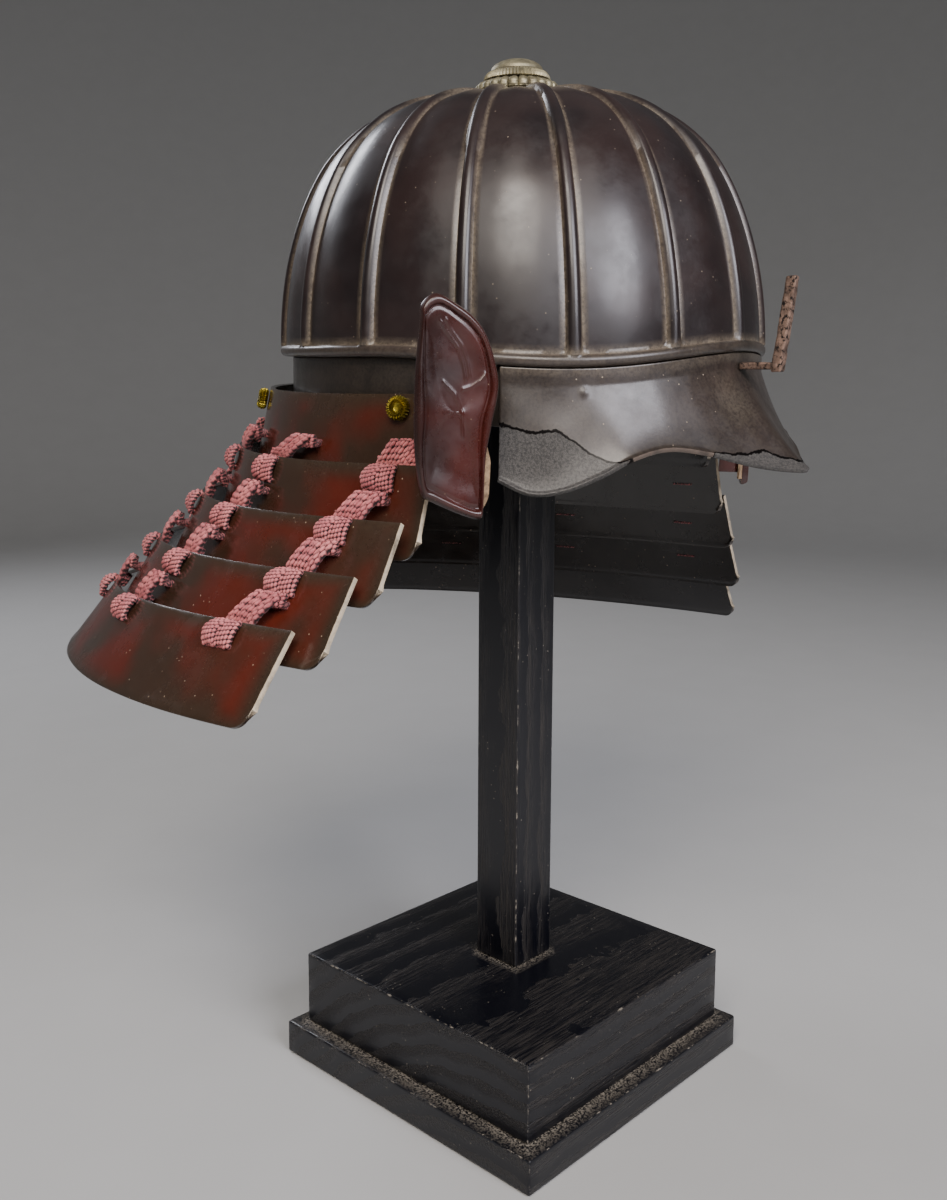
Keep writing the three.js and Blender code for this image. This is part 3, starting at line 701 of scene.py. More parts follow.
@dataclass
class Bowl:
    """The ribbed bowl with all that stands on it, in the bowl's own tilted frame.

    Angles run from the wearer's right side (0) over the front (a quarter turn).
    """

    rim_height: float = 361.0
    roll: float = math.radians(-2.5)
    pitch: float = math.radians(0.75)
    half_width: float = 107.5
    half_length: float = 114.5
    height: float = 112.5
    wall: float = 2.6
    bulge: float = 3.6
    shoulder: float = 1.88
    bead: float = 2.6
    rim_dip: float = 5.0
    ribs: int = 16
    rib_half: float = 2.7
    rib_height: float = 2.5
    rib_end: float = 20.6
    rib_fade: float = 6.0
    foot_height: float = 3.5
    pillow: float = 0.9
    steps: int = 28
    bead_rows: float = 0.12

    @property
    def place(self) -> Matrix:
        """The matrix from the bowl's frame in metres to the object's."""
        tilt = Matrix.Rotation(self.roll, 4, "Y") @ Matrix.Rotation(self.pitch, 4, "X")
        return Matrix.Translation((0, 0, self.rim_height * MM)) @ tilt

    def drop(self, angle: float) -> float:
        """Returns how far the rim dips at an angle."""
        return -self.rim_dip * math.sin(2 * angle) ** 2 if math.sin(angle) > 0 else 0.0

    def rim(self, angle: float, offset: float = 0.0, z: float = 0.0) -> Vector:
        """Returns a point beside the rim, an offset outward and a height above it."""
        return Vector((-(self.half_width + offset) * math.cos(angle),
                       -(self.half_length + offset) * math.sin(angle), z + self.drop(angle)))

    def reach(self, share: float) -> float:
        """Returns the bowl's width at a share of its height, as a share of the rim's."""
        return max(0.0, 1 - share ** self.shoulder) ** (1 / self.bulge)

    def skin(self, angle: float, share: float, offset: float = 0.0) -> Vector:
        """Returns a point of the bowl at a share of its height, moved outward by an offset.

        Args:
            angle: angle in radians.
            share: share of the bowl's height.
            offset: mm outward from the surface.

        Returns:
            The point in mm, in the bowl's frame.
        """
        reach = self.reach(share)
        radial = min(1.0, 4 * (1 - share))
        return Vector((-(self.half_width * reach + offset * radial) * math.cos(angle),
                       -(self.half_length * reach + offset * radial) * math.sin(angle),
                       share * self.height + offset * share ** 3 + self.drop(angle) * (1 - share) ** 2))

    def angle_at(self, across: float) -> float:
        """Returns the angle at a share round the bowl, with points gathered at the ribs.

        Args:
            across: share round the bowl.

        Returns:
            The angle in radians.
        """
        place = across * self.ribs
        rib = math.floor(place + 0.5)
        local = 2 * (place - rib)
        return math.tau * (rib + math.copysign(abs(local) ** 1.8, local) / 2) / self.ribs

    def rib_gap(self, angle: float, radius: float) -> float:
        """Returns the distance in mm from the nearest rib's middle."""
        pitch = math.tau / self.ribs
        return abs((angle + pitch / 2) % pitch - pitch / 2) * radius

    def rise(self, angle: float, share: float) -> float:
        """Returns how far the surface stands out: round ribs, a groove beside them, and pillowed plates.

        Args:
            angle: angle in radians.
            share: share of the bowl's height.

        Returns:
            The rise in mm.
        """
        radius = self.half_width * self.reach(share)
        fade = clamp((radius - self.rib_end) / self.rib_fade)
        gap = self.rib_gap(angle, radius)
        plate = math.pi / self.ribs * max(radius, 1.0)
        gap /= 1 + 0.5 * math.exp(-share * self.height / self.foot_height)
        bead = self.rib_height * math.sqrt(max(0.0, 1 - (gap / self.rib_half) ** 2)) ** 0.9
        groove = 0.3 * math.exp(-((gap - self.rib_half - 0.3) / 0.7) ** 2)
        swell = self.pillow * smooth_step(self.rib_half, plate, gap)
        return fade * (bead - groove + swell) if gap < self.rib_half else fade * (swell - groove)

    def share_at(self, down: float) -> float:
        """Returns the share of the bowl's height at a share of the rows, past the bead's rows."""
        turn = (down - self.bead_rows) / (1 - self.bead_rows) * math.pi / 2
        return mix(self.bead * 0.9 / self.height, 1.0, math.sin(turn) ** 1.15)

    def shape(self, across: float, down: float) -> Vector:
        """Returns a point of the bowl: the rim bead below, and the ribbed skin above it.

        Args:
            across: share round the bowl.
            down: share of the rows, from the bead to the crown.

        Returns:
            The point in mm, in the bowl's frame.
        """
        angle = self.angle_at(across)
        if down < self.bead_rows:
            swing = math.radians(mix(-115, 62, down / self.bead_rows))
            return self.rim(angle, self.bead * math.cos(swing), self.bead * math.sin(swing))
        share = self.share_at(down)
        point = self.skin(angle, share, self.rise(angle, share))
        wave = 0.35 * ripple(point, 38, 3.1) * (1 - share)
        return point + Vector((-math.cos(angle), -math.sin(angle), 0)) * wave

    def dust(self, across: float, down: float) -> float:
        """Returns how much dust lies at a point: beside the ribs and above the rim bead.

        Args:
            across: share round the bowl.
            down: share of the rows, from the bead to the crown.

        Returns:
            The dust, from 0 to 1.
        """
        if down < self.bead_rows:
            return 0.25
        share = self.share_at(down)
        gap = self.rib_gap(self.angle_at(across), self.half_width * self.reach(share))
        beside = smooth_step(self.rib_half - 0.4, self.rib_half + 0.2, gap) * smooth_step(
            self.rib_half + mix(3.2, 1.4, share), self.rib_half + 0.3, gap)
        low = smooth_step(5.5, 1.5, share * self.height)
        crown = smooth_step(0.93, 0.99, share)
        return clamp(max(beside * mix(1.0, 0.7, share), low, crown * 0.9))

    def build(self) -> None:
        """Makes and dresses the bowl."""
        bowl = grid("bowl_ribbed", self.ribs * self.steps, 74, self.shape,
                    {"dust": self.dust, "edge": lambda across, down: FAR}, around=True)
        face_out(bowl, Vector((0, 0, 20)))
        thicken(bowl, self.wall)
        settle(bowl, self.place)
        smooth(bowl, 60)
        put(bowl, BLACK_LACQUER.make(), "black_lacquer", "bowl")


@dataclass
class WaistBand:
    """The plain band under the rim, which the peak and the neck guard are riveted to."""

    bowl: Bowl
    wall: float = 2.0
    inset: float = 3.2
    top: float = -2.9
    bottom: float = -27.0
    flare: float = 0.8

    def shape(self, across: float, down: float) -> Vector:
        """Returns a point of the band's outer face."""
        angle = math.tau * across
        point = self.bowl.rim(angle, self.flare * down - self.inset, mix(self.top, self.bottom, down))
        return point + point.normalized() * 0.25 * ripple(point, 30, 8.2)

    def build(self) -> None:
        """Makes and dresses the band."""
        span = self.top - self.bottom
        marks = {"dust": lambda across, down: 0.55 + 0.4 * smooth_step(0.25, 0.0, down),
                 "edge": lambda across, down: 3.0 + (1 - down) * span}
        band = grid("waist_band_sheet", 224, 14, self.shape, marks, around=True)
        face_out(band, Vector((0, 0, -15)))
        thicken(band, self.wall, 0.4)
        settle(band, self.bowl.place)
        smooth(band)
        put(band, BAND_LACQUER.make(), "black_lacquer", "waist_band")


@dataclass(frozen=True)
class EdgePoint:
    """A station of the peak's free edge: its angle in degrees, overhang and drop in mm."""

    angle: float
    overhang: float
    drop: float


def curve_through(points: Sequence[Vector], place: float) -> Vector:
    """Returns a point on a smooth curve through points, with even speed between them.

    Args:
        points: the curve's points.
        place: which point, with a fraction for the way to the next one.

    Returns:
        The point.
    """
    last = len(points) - 1
    index = min(int(clamp(place, 0, last)), last - 1)
    t = clamp(place, 0, last) - index
    p1, p2 = points[index], points[index + 1]
    p0 = points[index - 1] if index else p1 * 2 - p2
    p3 = points[index + 2] if index + 2 <= last else p2 * 2 - p1
    return 0.5 * (2 * p1 + (p2 - p0) * t + (2 * p0 - 5 * p1 + 4 * p2 - p3) * t * t
                  + (3 * p1 - p0 - 3 * p2 + p3) * t ** 3)


@dataclass
class Peak:
    """The peak: a flared sheet with a lobe at each rear corner and a low tip in front."""

    bowl: Bowl
    wall: float = 2.2
    root_offset: float = 1.0
    root_top: float = -3.0
    root_height: float = 11.0
    flare_from: float = 0.2
    reach_power: float = 1.12
    fall_power: float = 1.15
    fray: float = 0.12
    length: float = 260.0
    right: list[EdgePoint] = field(default_factory=lambda: [
        EdgePoint(30, 9, 50.5), EdgePoint(36, 10, 56), EdgePoint(42, 11.2, 54.8),
        EdgePoint(49, 12.5, 48.8), EdgePoint(55, 13, 42.5), EdgePoint(62, 13, 39.3),
        EdgePoint(70, 14.5, 41.5), EdgePoint(79, 20.5, 46.8), EdgePoint(85, 26.5, 49.6),
        EdgePoint(90, 32.5, 50.8)])

    def __post_init__(self) -> None:
        """Lays out the free edge on both sides of the front centre line."""
        left = [EdgePoint(180 - p.angle, p.overhang, p.drop) for p in reversed(self.right[:-1])]
        self.edge = [Vector((p.angle, p.overhang, p.drop)) for p in [*self.right, *left]]

    def station(self, across: float) -> Vector:
        """Returns the free edge's angle in degrees, overhang and drop at a share along it."""
        return curve_through(self.edge, across * (len(self.edge) - 1))

    def shape(self, across: float, level: float) -> Vector:
        """Returns a point of the peak's upper face.

        Args:
            across: share along the free edge.
            level: share from the peak's root to its free edge.

        Returns:
            The point in mm, in the bowl's frame.
        """
        degrees, overhang, drop = self.station(across)
        root_z = self.root_top - min(1.0, level / self.flare_from) * self.root_height * 0.6
        flare = max(0.0, (level - self.flare_from) / (1 - self.flare_from))
        reach = self.root_offset + (overhang - self.root_offset) * flare ** self.reach_power
        fall = (drop + root_z) * (1 - (1 - flare) ** self.fall_power)
        angle = math.radians(degrees)
        point = self.bowl.rim(angle, reach, root_z - fall)
        point.z -= self.bowl.drop(angle) * flare
        out = Vector((-math.cos(angle), -math.sin(angle), 0.35))
        roll = 0.5 * smooth_step(0.95, 1.0, level)
        dent = 0.8 * ripple(point, 22, 5.5) * smooth_step(0.1, 0.4, level)
        rivet = 0.7 * math.exp(-(((degrees - 47) * 2.0) ** 2 + ((level - 0.25) * 46) ** 2) / 2.2)
        return point + out * (roll + dent + rivet)

    def lost(self, across: float, level: float) -> float:
        """Returns how much lacquer is lost: at the near rear lobe, at the tip and beside it.

        Args:
            across: share along the free edge.
            level: share from the peak's root to its free edge.

        Returns:
            The loss, from 0 to 1.
        """
        degrees = self.station(across).x
        lobe_top = mix(0.5, 1.02, smooth_step(40, 56, degrees))
        tip_top = 0.83 + 0.012 * abs(degrees - 84)
        lobe = smooth_step(-self.fray, self.fray, level - lobe_top) if degrees < 58 else 0.0
        tip = smooth_step(-self.fray, self.fray, level - tip_top) if 72 < degrees < 100 else 0.0
        return max(lobe, tip)

    def to_edge(self, across: float, level: float) -> float:
        """Returns the distance in mm to the nearest free edge."""
        side = min(across, 1 - across) * self.length
        return min((1 - level) * self.station(across).z, side + 0.6)

    def dust(self, across: float, level: float) -> float:
        """Returns how much dust lies at a point.

        Args:
            across: share along the free edge.
            level: share from the peak's root to its free edge.

        Returns:
            The dust, from 0 to 1.
        """
        degrees, _, drop = self.station(across)
        under_rim = smooth_step(9, 1, level * drop)
        front = 0.75 * math.exp(-(((degrees - 82) / 7) ** 2 + ((level - 0.45) / 0.3) ** 2))
        return max(under_rim * 0.9, 0.3, front)

    def build(self) -> None:
        """Makes and dresses the peak."""
        peak = grid("peak_sheet", 240, 56, self.shape,
                    {"dust": self.dust, "edge": self.to_edge, "bare": self.lost})
        face_out(peak, Vector((0, 0, 0)))
        thicken(peak, self.wall, 0.7)
        settle(peak, self.bowl.place)
        smooth(peak)
        put(peak, PEAK_LACQUER.make(), "black_lacquer", "peak")


@dataclass
class CrestProng:
    """The worn tab and upright that once held a crest."""

    bowl: Bowl
    width: float = 5.0
    depth: float = 4.5
    bottom: float = -11.0
    top: float = 28.0
    base_reach: float = 18.5
    lean: float = 5.5
    tab_thick: float = 3.0
    front: float = -116.1
    rounding: float = 0.7
    taper: float = 0.82
    pitting: float = 0.32

    def make_bar(self, name: str, low: Vector, high: Vector, steps: int) -> Mesh:
        """Makes a bar with rounded edges between two corners, in mm.

        Args:
            name: the piece's name.
            low: its lower corner in mm.
            high: its upper corner in mm.
            steps: how many cuts divide each edge.

        Returns:
            The bar.
        """
        bar = box(name, low, high)
        apply_modifier(bar, "BEVEL", width=self.rounding * MM, segments=2, limit_method="ANGLE")
        subdivide(bar, steps)
        return bar

    def build(self) -> None:
        """Makes and dresses the prong."""
        half = self.width / 2
        foot = self.front - self.base_reach
        upright = self.make_bar("prong_upright", Vector((-half, foot, self.bottom)),
                                Vector((half, foot + self.depth, self.top)), 12)
        for vertex in upright.data.vertices:
            share = (vertex.co.z / MM - self.bottom) / (self.top - self.bottom)
            vertex.co.y -= self.lean * share * MM
            vertex.co.x *= mix(1.0, self.taper, share)
        tab = self.make_bar("prong_tab", Vector((-half, foot + 1, self.bottom + 1)),
                            Vector((half, self.front, self.bottom + 1 + self.tab_thick)), 8)
        prong = join("crest_prong_iron", [upright, tab])
        for vertex in prong.data.vertices:
            point = vertex.co / MM
            wear = Vector((ripple(point, 3.2, 1), ripple(point, 3.2, 5), ripple(point, 4, 9)))
            vertex.co += wear * self.pitting * MM
        settle(prong, self.bowl.place)
        smooth(prong, 50)
        put(prong, IRON.make(), "worn_iron", "crest_prong")


@dataclass
class Finial:
    """The crown ornament: a petalled plate, a milled ring and a smooth cap."""

    bowl: Bowl
    base_radius: float = 17.5
    base_thick: float = 3.5
    petals: int = 24
    petal_radius: float = 19.5
    petal_thick: float = 5.0
    teeth: int = 60
    tooth_radius: float = 15.6
    ring_thick: float = 4.0
    dome_radius: float = 12.2
    dome_height: float = 5.4
    gap: float = GAP
    rise: float = 0.65

    def turned(self, name: str, profile: Sequence[tuple[float, float]], columns: int, node: str,
               bronze: bpy.types.Material, wave: Wave | None = None) -> None:
        """Makes one round piece from a profile that a wave shapes into petals or teeth.

        Args:
            name: the piece's name.
            profile: radius and height in mm from the underside's middle to the top's.
            columns: steps round the piece.
            node: the CAD node that it replaces.
            bronze: the finish.
            wave: gives a change of radius and height for an angle, a radius and a height.
        """
        rows = (len(profile) - 1) * 4

        def shape(across: float, down: float) -> Vector:
            """Returns a point of the turned piece.

            Args:
                across: share round the piece.
                down: share along the profile.

            Returns:
                The point in mm.
            """
            angle = math.tau * across
            place = down * (len(profile) - 1)
            index = min(int(place), len(profile) - 2)
            t = place - index
            radius, height = (mix(a, b, t) for a, b in zip(profile[index], profile[index + 1]))
            wider, higher = wave(angle, radius, height) if wave else (0.0, 0.0)
            radius = max(0.0, radius + wider) if radius > 0 else 0.0
            return Vector((radius * math.cos(angle), radius * math.sin(angle), height + higher))

        piece = grid(name, columns, rows, shape, around=True)
        face_out(piece, Vector((0, 0, profile[0][1] + 1)))
        lift = Matrix.Translation((0, 0, (self.bowl.height + self.rise) * MM))
        settle(piece, self.bowl.place @ lift)
        smooth(piece, 50)
        put(piece, bronze, "aged_bronze", node)

    def petal(self, angle: float, radius: float, height: float) -> tuple[float, float]:
        """Returns the petals' wave: rounded ends, spoon hollows and the grooves between.

        Args:
            angle: angle in radians.
            radius: distance from the axis in mm.
            height: height in mm.

        Returns:
            The change of radius and of height in mm.
        """
        across = abs(math.cos(angle * self.petals / 2))
        above = height - self.base_thick
        outer = smooth_step(12, 16.5, radius) * smooth_step(-0.1, 0.4, above)
        notch = 1 - across ** 0.4
        top = smooth_step(2.4, 3.4, above)
        hollow = 0.9 * across ** 3 * math.exp(-((radius - 17.0) / 1.1) ** 2)
        return -1.9 * notch * outer, -top * outer * (1.1 * notch + hollow)

    def tooth(self, angle: float, radius: float, height: float) -> tuple[float, float]:
        """Returns the ring's fine milled teeth.

        Args:
            angle: angle in radians.
            radius: distance from the axis in mm.
            height: height in mm.

        Returns:
            The change of radius and of height in mm.
        """
        wave = 0.5 + 0.5 * math.cos(angle * self.teeth)
        outer = smooth_step(12.6, 13.8, radius)
        return -0.8 * (1 - wave) * outer, 0.0

    def build(self, bronze: bpy.types.Material) -> None:
        """Makes and dresses the three pieces.

        Args:
            bronze: the finish.
        """
        foot, low, top = self.base_radius, self.base_thick, self.base_thick + self.petal_thick
        rim = self.petal_radius
        plate = [(0, 0), (foot - 0.5, 0), (foot, 0.5), (foot, low - 0.1), (rim - 0.5, low), (rim, low + 0.7),
                 (rim - 0.1, low + 2.6), (rim - 1.0, top - 1.2), (rim - 2.4, top - 0.3), (rim - 4.5, top),
                 (0, top)]
        self.turned("finial_petals", plate, self.petals * 12, "finial_petal_plate", bronze, self.petal)
        low = top + self.gap
        rim, top = self.tooth_radius, low + self.ring_thick
        ring = [(0, low), (rim - 1.0, low), (rim, low + 0.4), (rim - 0.4, low + 1.8), (rim - 1.5, top - 0.7),
                (rim - 2.8, top), (0, top)]
        self.turned("finial_milled_ring", ring, self.teeth * 6, "finial_beaded_ring", bronze, self.tooth)
        low = top + self.gap
        rim, rise = self.dome_radius, self.dome_height
        arc = [(rim * math.cos(a), low + rise * math.sin(a)) for a in map(math.radians, range(0, 90, 15))]
        cap = [(0, low), (rim - 0.4, low), *arc, (0, low + rise)]
        self.turned("finial_cap", cap, 96, "finial_dome", bronze)


@dataclass(frozen=True)
class LameEdge:
    """One edge of a lame: half width, reach to the back, and heights at the sides and back."""

    side: float
    back: float
    height: float
    back_height: float

    def toward(self, other: "LameEdge", share: float) -> "LameEdge":
        """Returns the outline a share of the way to another edge."""
        return LameEdge(*(mix(getattr(self, key), getattr(other, key), share)
                          for key in ("side", "back", "height", "back_height")))


@dataclass(frozen=True)
class Spot:
    """A place on a lame's face with its across, up and outward directions."""

    point: Vector
    across: Vector
    up: Vector
    out: Vector

    def at(self, across: float, up: float, out: float) -> Vector:
        """Returns a point beside the spot."""
        return self.point + self.across * across + self.up * up + self.out * out


@dataclass(frozen=True)
class Lame:
    """One lame of the neck guard. Angles run from the right side over the back."""

    number: int
    roll: float
    front: float
    front_axis: float
    lacing_start: float
    top: LameEdge
    bottom: LameEdge
    level: float = 354.0
    wall: float = 2.2
    corner: float = 7.0
    end_share: float = 0.15
    inset: float = 0.3

    @property
    def slant(self) -> float:
        """The lame's height in mm down its face."""
        return math.hypot(self.top.height - self.bottom.height, self.bottom.side - self.top.side)

    @property
    def first(self) -> float:
        """The angle of the right front end."""
        return math.asin(self.front / self.front_axis)

    def point(self, angle: float, share: float, offset: float = 0.0) -> Vector:
        """Returns a point at a share down from the upper edge, an offset outward.

        Args:
            angle: angle in radians.
            share: share down the face.
            offset: mm outward from the surface.

        Returns:
            The point in mm.
        """
        edge = self.top.toward(self.bottom, share)
        sine = math.sin(angle)
        behind = sine > 0
        slope = math.atan2(self.bottom.side - self.top.side, self.top.height - self.bottom.height)
        out = offset * math.cos(slope)
        reach = edge.back + out if behind else self.front_axis
        height = mix(edge.height, edge.back_height, sine ** 2 if behind else 0.0)
        point = Vector((-(edge.side + out) * math.cos(angle), reach * sine,
                        height + offset * math.sin(slope)))
        return Matrix.Rotation(math.radians(self.roll), 3, "Y") @ point + Vector((0, 0, self.level))

    def spot(self, angle: float, share: float, offset: float = 0.0) -> Spot:
        """Returns the place and its directions.

        Args:
            angle: angle in radians.
            share: share down the face.
            offset: mm outward from the surface.

        Returns:
            The place, with unit directions.
        """
        step = 0.01
        point = self.point(angle, share, offset)
        across = self.point(angle + step, share, offset) - self.point(angle - step, share, offset)
        across.normalize()
        down = self.point(angle, share + step, offset) - self.point(angle, share - step, offset)
        out = across.cross(down).normalized()
        if out.dot(Vector((point.x, point.y, 0))) < 0:
            out.negate()
        return Spot(point, across, out.cross(across).normalized(), out)

    def angle(self, across: float) -> float:
        """Returns the angle at a share of the columns, which gather at the front ends."""
        return mix(self.first, math.pi - self.first, across - 0.88 / math.tau * math.sin(math.tau * across))

    def end_gap(self, across: float) -> float:
        """Returns the distance in mm along the face to the nearer front end."""
        angle = self.angle(min(across, 1 - across))
        return (self.point(angle, 0.8) - self.point(self.first, 0.8)).length

    def shape(self, across: float, down: float) -> Vector:
        """Returns a point of the outer face, with rounded lower front corners.

        Args:
            across: share along the lame, from its right end.
            down: share of the rows.

        Returns:
            The point in mm.
        """
        gap = self.end_gap(across) if min(across, 1 - across) < self.end_share else self.corner
        cut = self.corner - math.sqrt(max(0.0, self.corner ** 2 - max(0.0, self.corner - gap) ** 2))
        angle = self.angle(across)
        point = self.point(angle, down * (1 - cut / self.slant))
        out = Vector((point.x, point.y, 0)).normalized()
        bead = 0.45 * math.exp(-(((1 - down) * self.slant - 1.4) / 1.1) ** 2)
        return point + out * (0.4 * ripple(point, 36, 2.0 + self.number) + bead - self.inset)

    def to_edge(self, across: float, down: float) -> float:
        """Returns the distance in mm to the nearest free edge; the upper edge wears least."""
        ends = self.end_gap(across) * 0.8 if min(across, 1 - across) < self.end_share else FAR
        return min(down * self.slant + 0.5, (1 - down) * self.slant + 0.9, ends)

    def dust(self, across: float, down: float) -> float:
        """Returns how much dust lies at a point."""
        return 0.28 + 0.25 * smooth_step(0.2, 0.0, down)

    def build(self, material: bpy.types.Material) -> None:
        """Makes and dresses the lame.

        Args:
            material: the finish.
        """
        columns = 260 + 30 * self.number
        lame = grid(f"lame_{self.number}_sheet", columns, 24, self.shape,
                    {"dust": self.dust, "edge": self.to_edge})
        face_out(lame, Vector((0, 30, self.level - 60)))
        thicken(lame, self.wall, 0.6)
        # Faces turned inward are marked, so that the lacquer paints them near black as shade.
        shaded_facing_in = [float(vertex.normal.dot(Vector((vertex.co.x, vertex.co.y, 0))) < 0)
                     for vertex in lame.data.vertices]
        lame.data.attributes.new("inner_shade", "FLOAT", "POINT").data.foreach_set("value", shaded_facing_in)
        settle(lame)
        smooth(lame)
        put(lame, material, "red_lacquer", f"neck_lame_{self.number}")


LAMES = (
    Lame(1, -1.0, -50, 118, -13.7, LameEdge(110, 128, -13.5, -9), LameEdge(119.5, 137.5, -56, -51)),
    Lame(2, 0.5, -47, 330, -4.2, LameEdge(123.5, 144.5, -44, -37), LameEdge(134.5, 155.5, -80, -76)),
    Lame(3, 1.5, -46, 330, -2.8, LameEdge(139, 163.5, -67, -62), LameEdge(155, 178, -98, -97)),
    Lame(4, 2.2, -41, 330, -1.7, LameEdge(157.5, 184, -88, -87), LameEdge(177, 201, -120.5, -118)),
    Lame(5, 2.5, -29, 330, 0.7, LameEdge(176, 205, -108, -111), LameEdge(199, 224, -140.5, -137)),
)


@dataclass
class Braid:
    """One plaited silk cord: a straight tube that is copied and laid along routes."""

    radius: float = 0.84
    sides: int = 8
    bead: float = 1.65
    swell: float = 0.12
    rings: int = 72

    def model(self) -> Mesh:
        """Makes the straight cord, whose z is the share along a route.

        Returns:
            The cord.
        """
        def shape(across: float, down: float) -> Vector:
            """Returns a point of a round tube."""
            return Vector((math.cos(math.tau * across), math.sin(math.tau * across), down / MM))

        cord = grid("braid_pattern", self.sides, self.rings - 1, shape, around=True)
        cord.data.attributes.new("hollow", "FLOAT", "POINT")
        return cord

    @staticmethod
    def station(route: Sequence[Vector], out: Sequence[Vector], share: float) -> tuple[Vector, ...]:
        """Returns the point at a share along a route, with its sideways and outward directions.

        Args:
            route: the route's points in mm.
            out: the outward direction at each point.
            share: share along the route.

        Returns:
            The point in mm and the two unit directions.
        """
        last = len(route) - 1
        place = share * last
        along = curve_through(route, min(last, place + 0.05)) - curve_through(route, max(0, place - 0.05))
        index = min(int(place), last - 1)
        side = along.cross(out[index].lerp(out[index + 1], place - index)).normalized()
        return curve_through(route, place), side, side.cross(along).normalized()

    def lay(self, cord: Mesh, route: Sequence[Vector], out: Sequence[Vector],
            phase: float, thick: float) -> Mesh:
        """Copies the cord and lays it along a route.

        Args:
            cord: the straight cord.
            route: the route's points in mm.
            out: the outward direction at each point.
            phase: where the plait starts, so that neighbours differ.
            thick: how much thicker than wide the doubled cord is.

        Returns:
            The laid cord.
        """
        copy = cord.copy()
        copy.data = cord.data.copy()
        bpy.context.collection.objects.link(copy)
        length = sum((end - start).length for start, end in zip(route, route[1:]))
        steps = self.rings - 1
        stations = [self.station(route, out, ring / steps) for ring in range(self.rings)]
        hollows = []
        for vertex in copy.data.vertices:
            turn, share = math.atan2(vertex.co.y, vertex.co.x), vertex.co.z
            middle, side, lift = stations[round(share * steps)]
            # The plait shows as beads that climb round the cord.
            bead = math.cos(math.tau * share * length / self.bead + turn + phase)
            radius = self.radius * (0.9 + self.swell * bead)
            beside = side * math.cos(turn) + lift * thick * math.sin(turn)
            vertex.co = (middle + beside * radius) * MM
            # The mark of painted shade: dark in the twist's troughs, on the cord's flanks and under it.
            flank = smooth_step(0.7, 1.0, abs(math.cos(turn)))
            under = smooth_step(0.1, -0.6, math.sin(turn))
            hollows.append(clamp(0.42 - 0.45 * bead + 0.6 * flank + 0.5 * under))
        copy.data.attributes["hollow"].data.foreach_set("value", hollows)
        return copy


@dataclass(frozen=True)
class Bundle:
    """A knot's bundle of cords: its ends' middles and widths, its rise, and its waist's shift."""

    cords: int
    top: float
    top_width: float
    bottom: float
    bottom_width: float
    rise: float
    shift: float


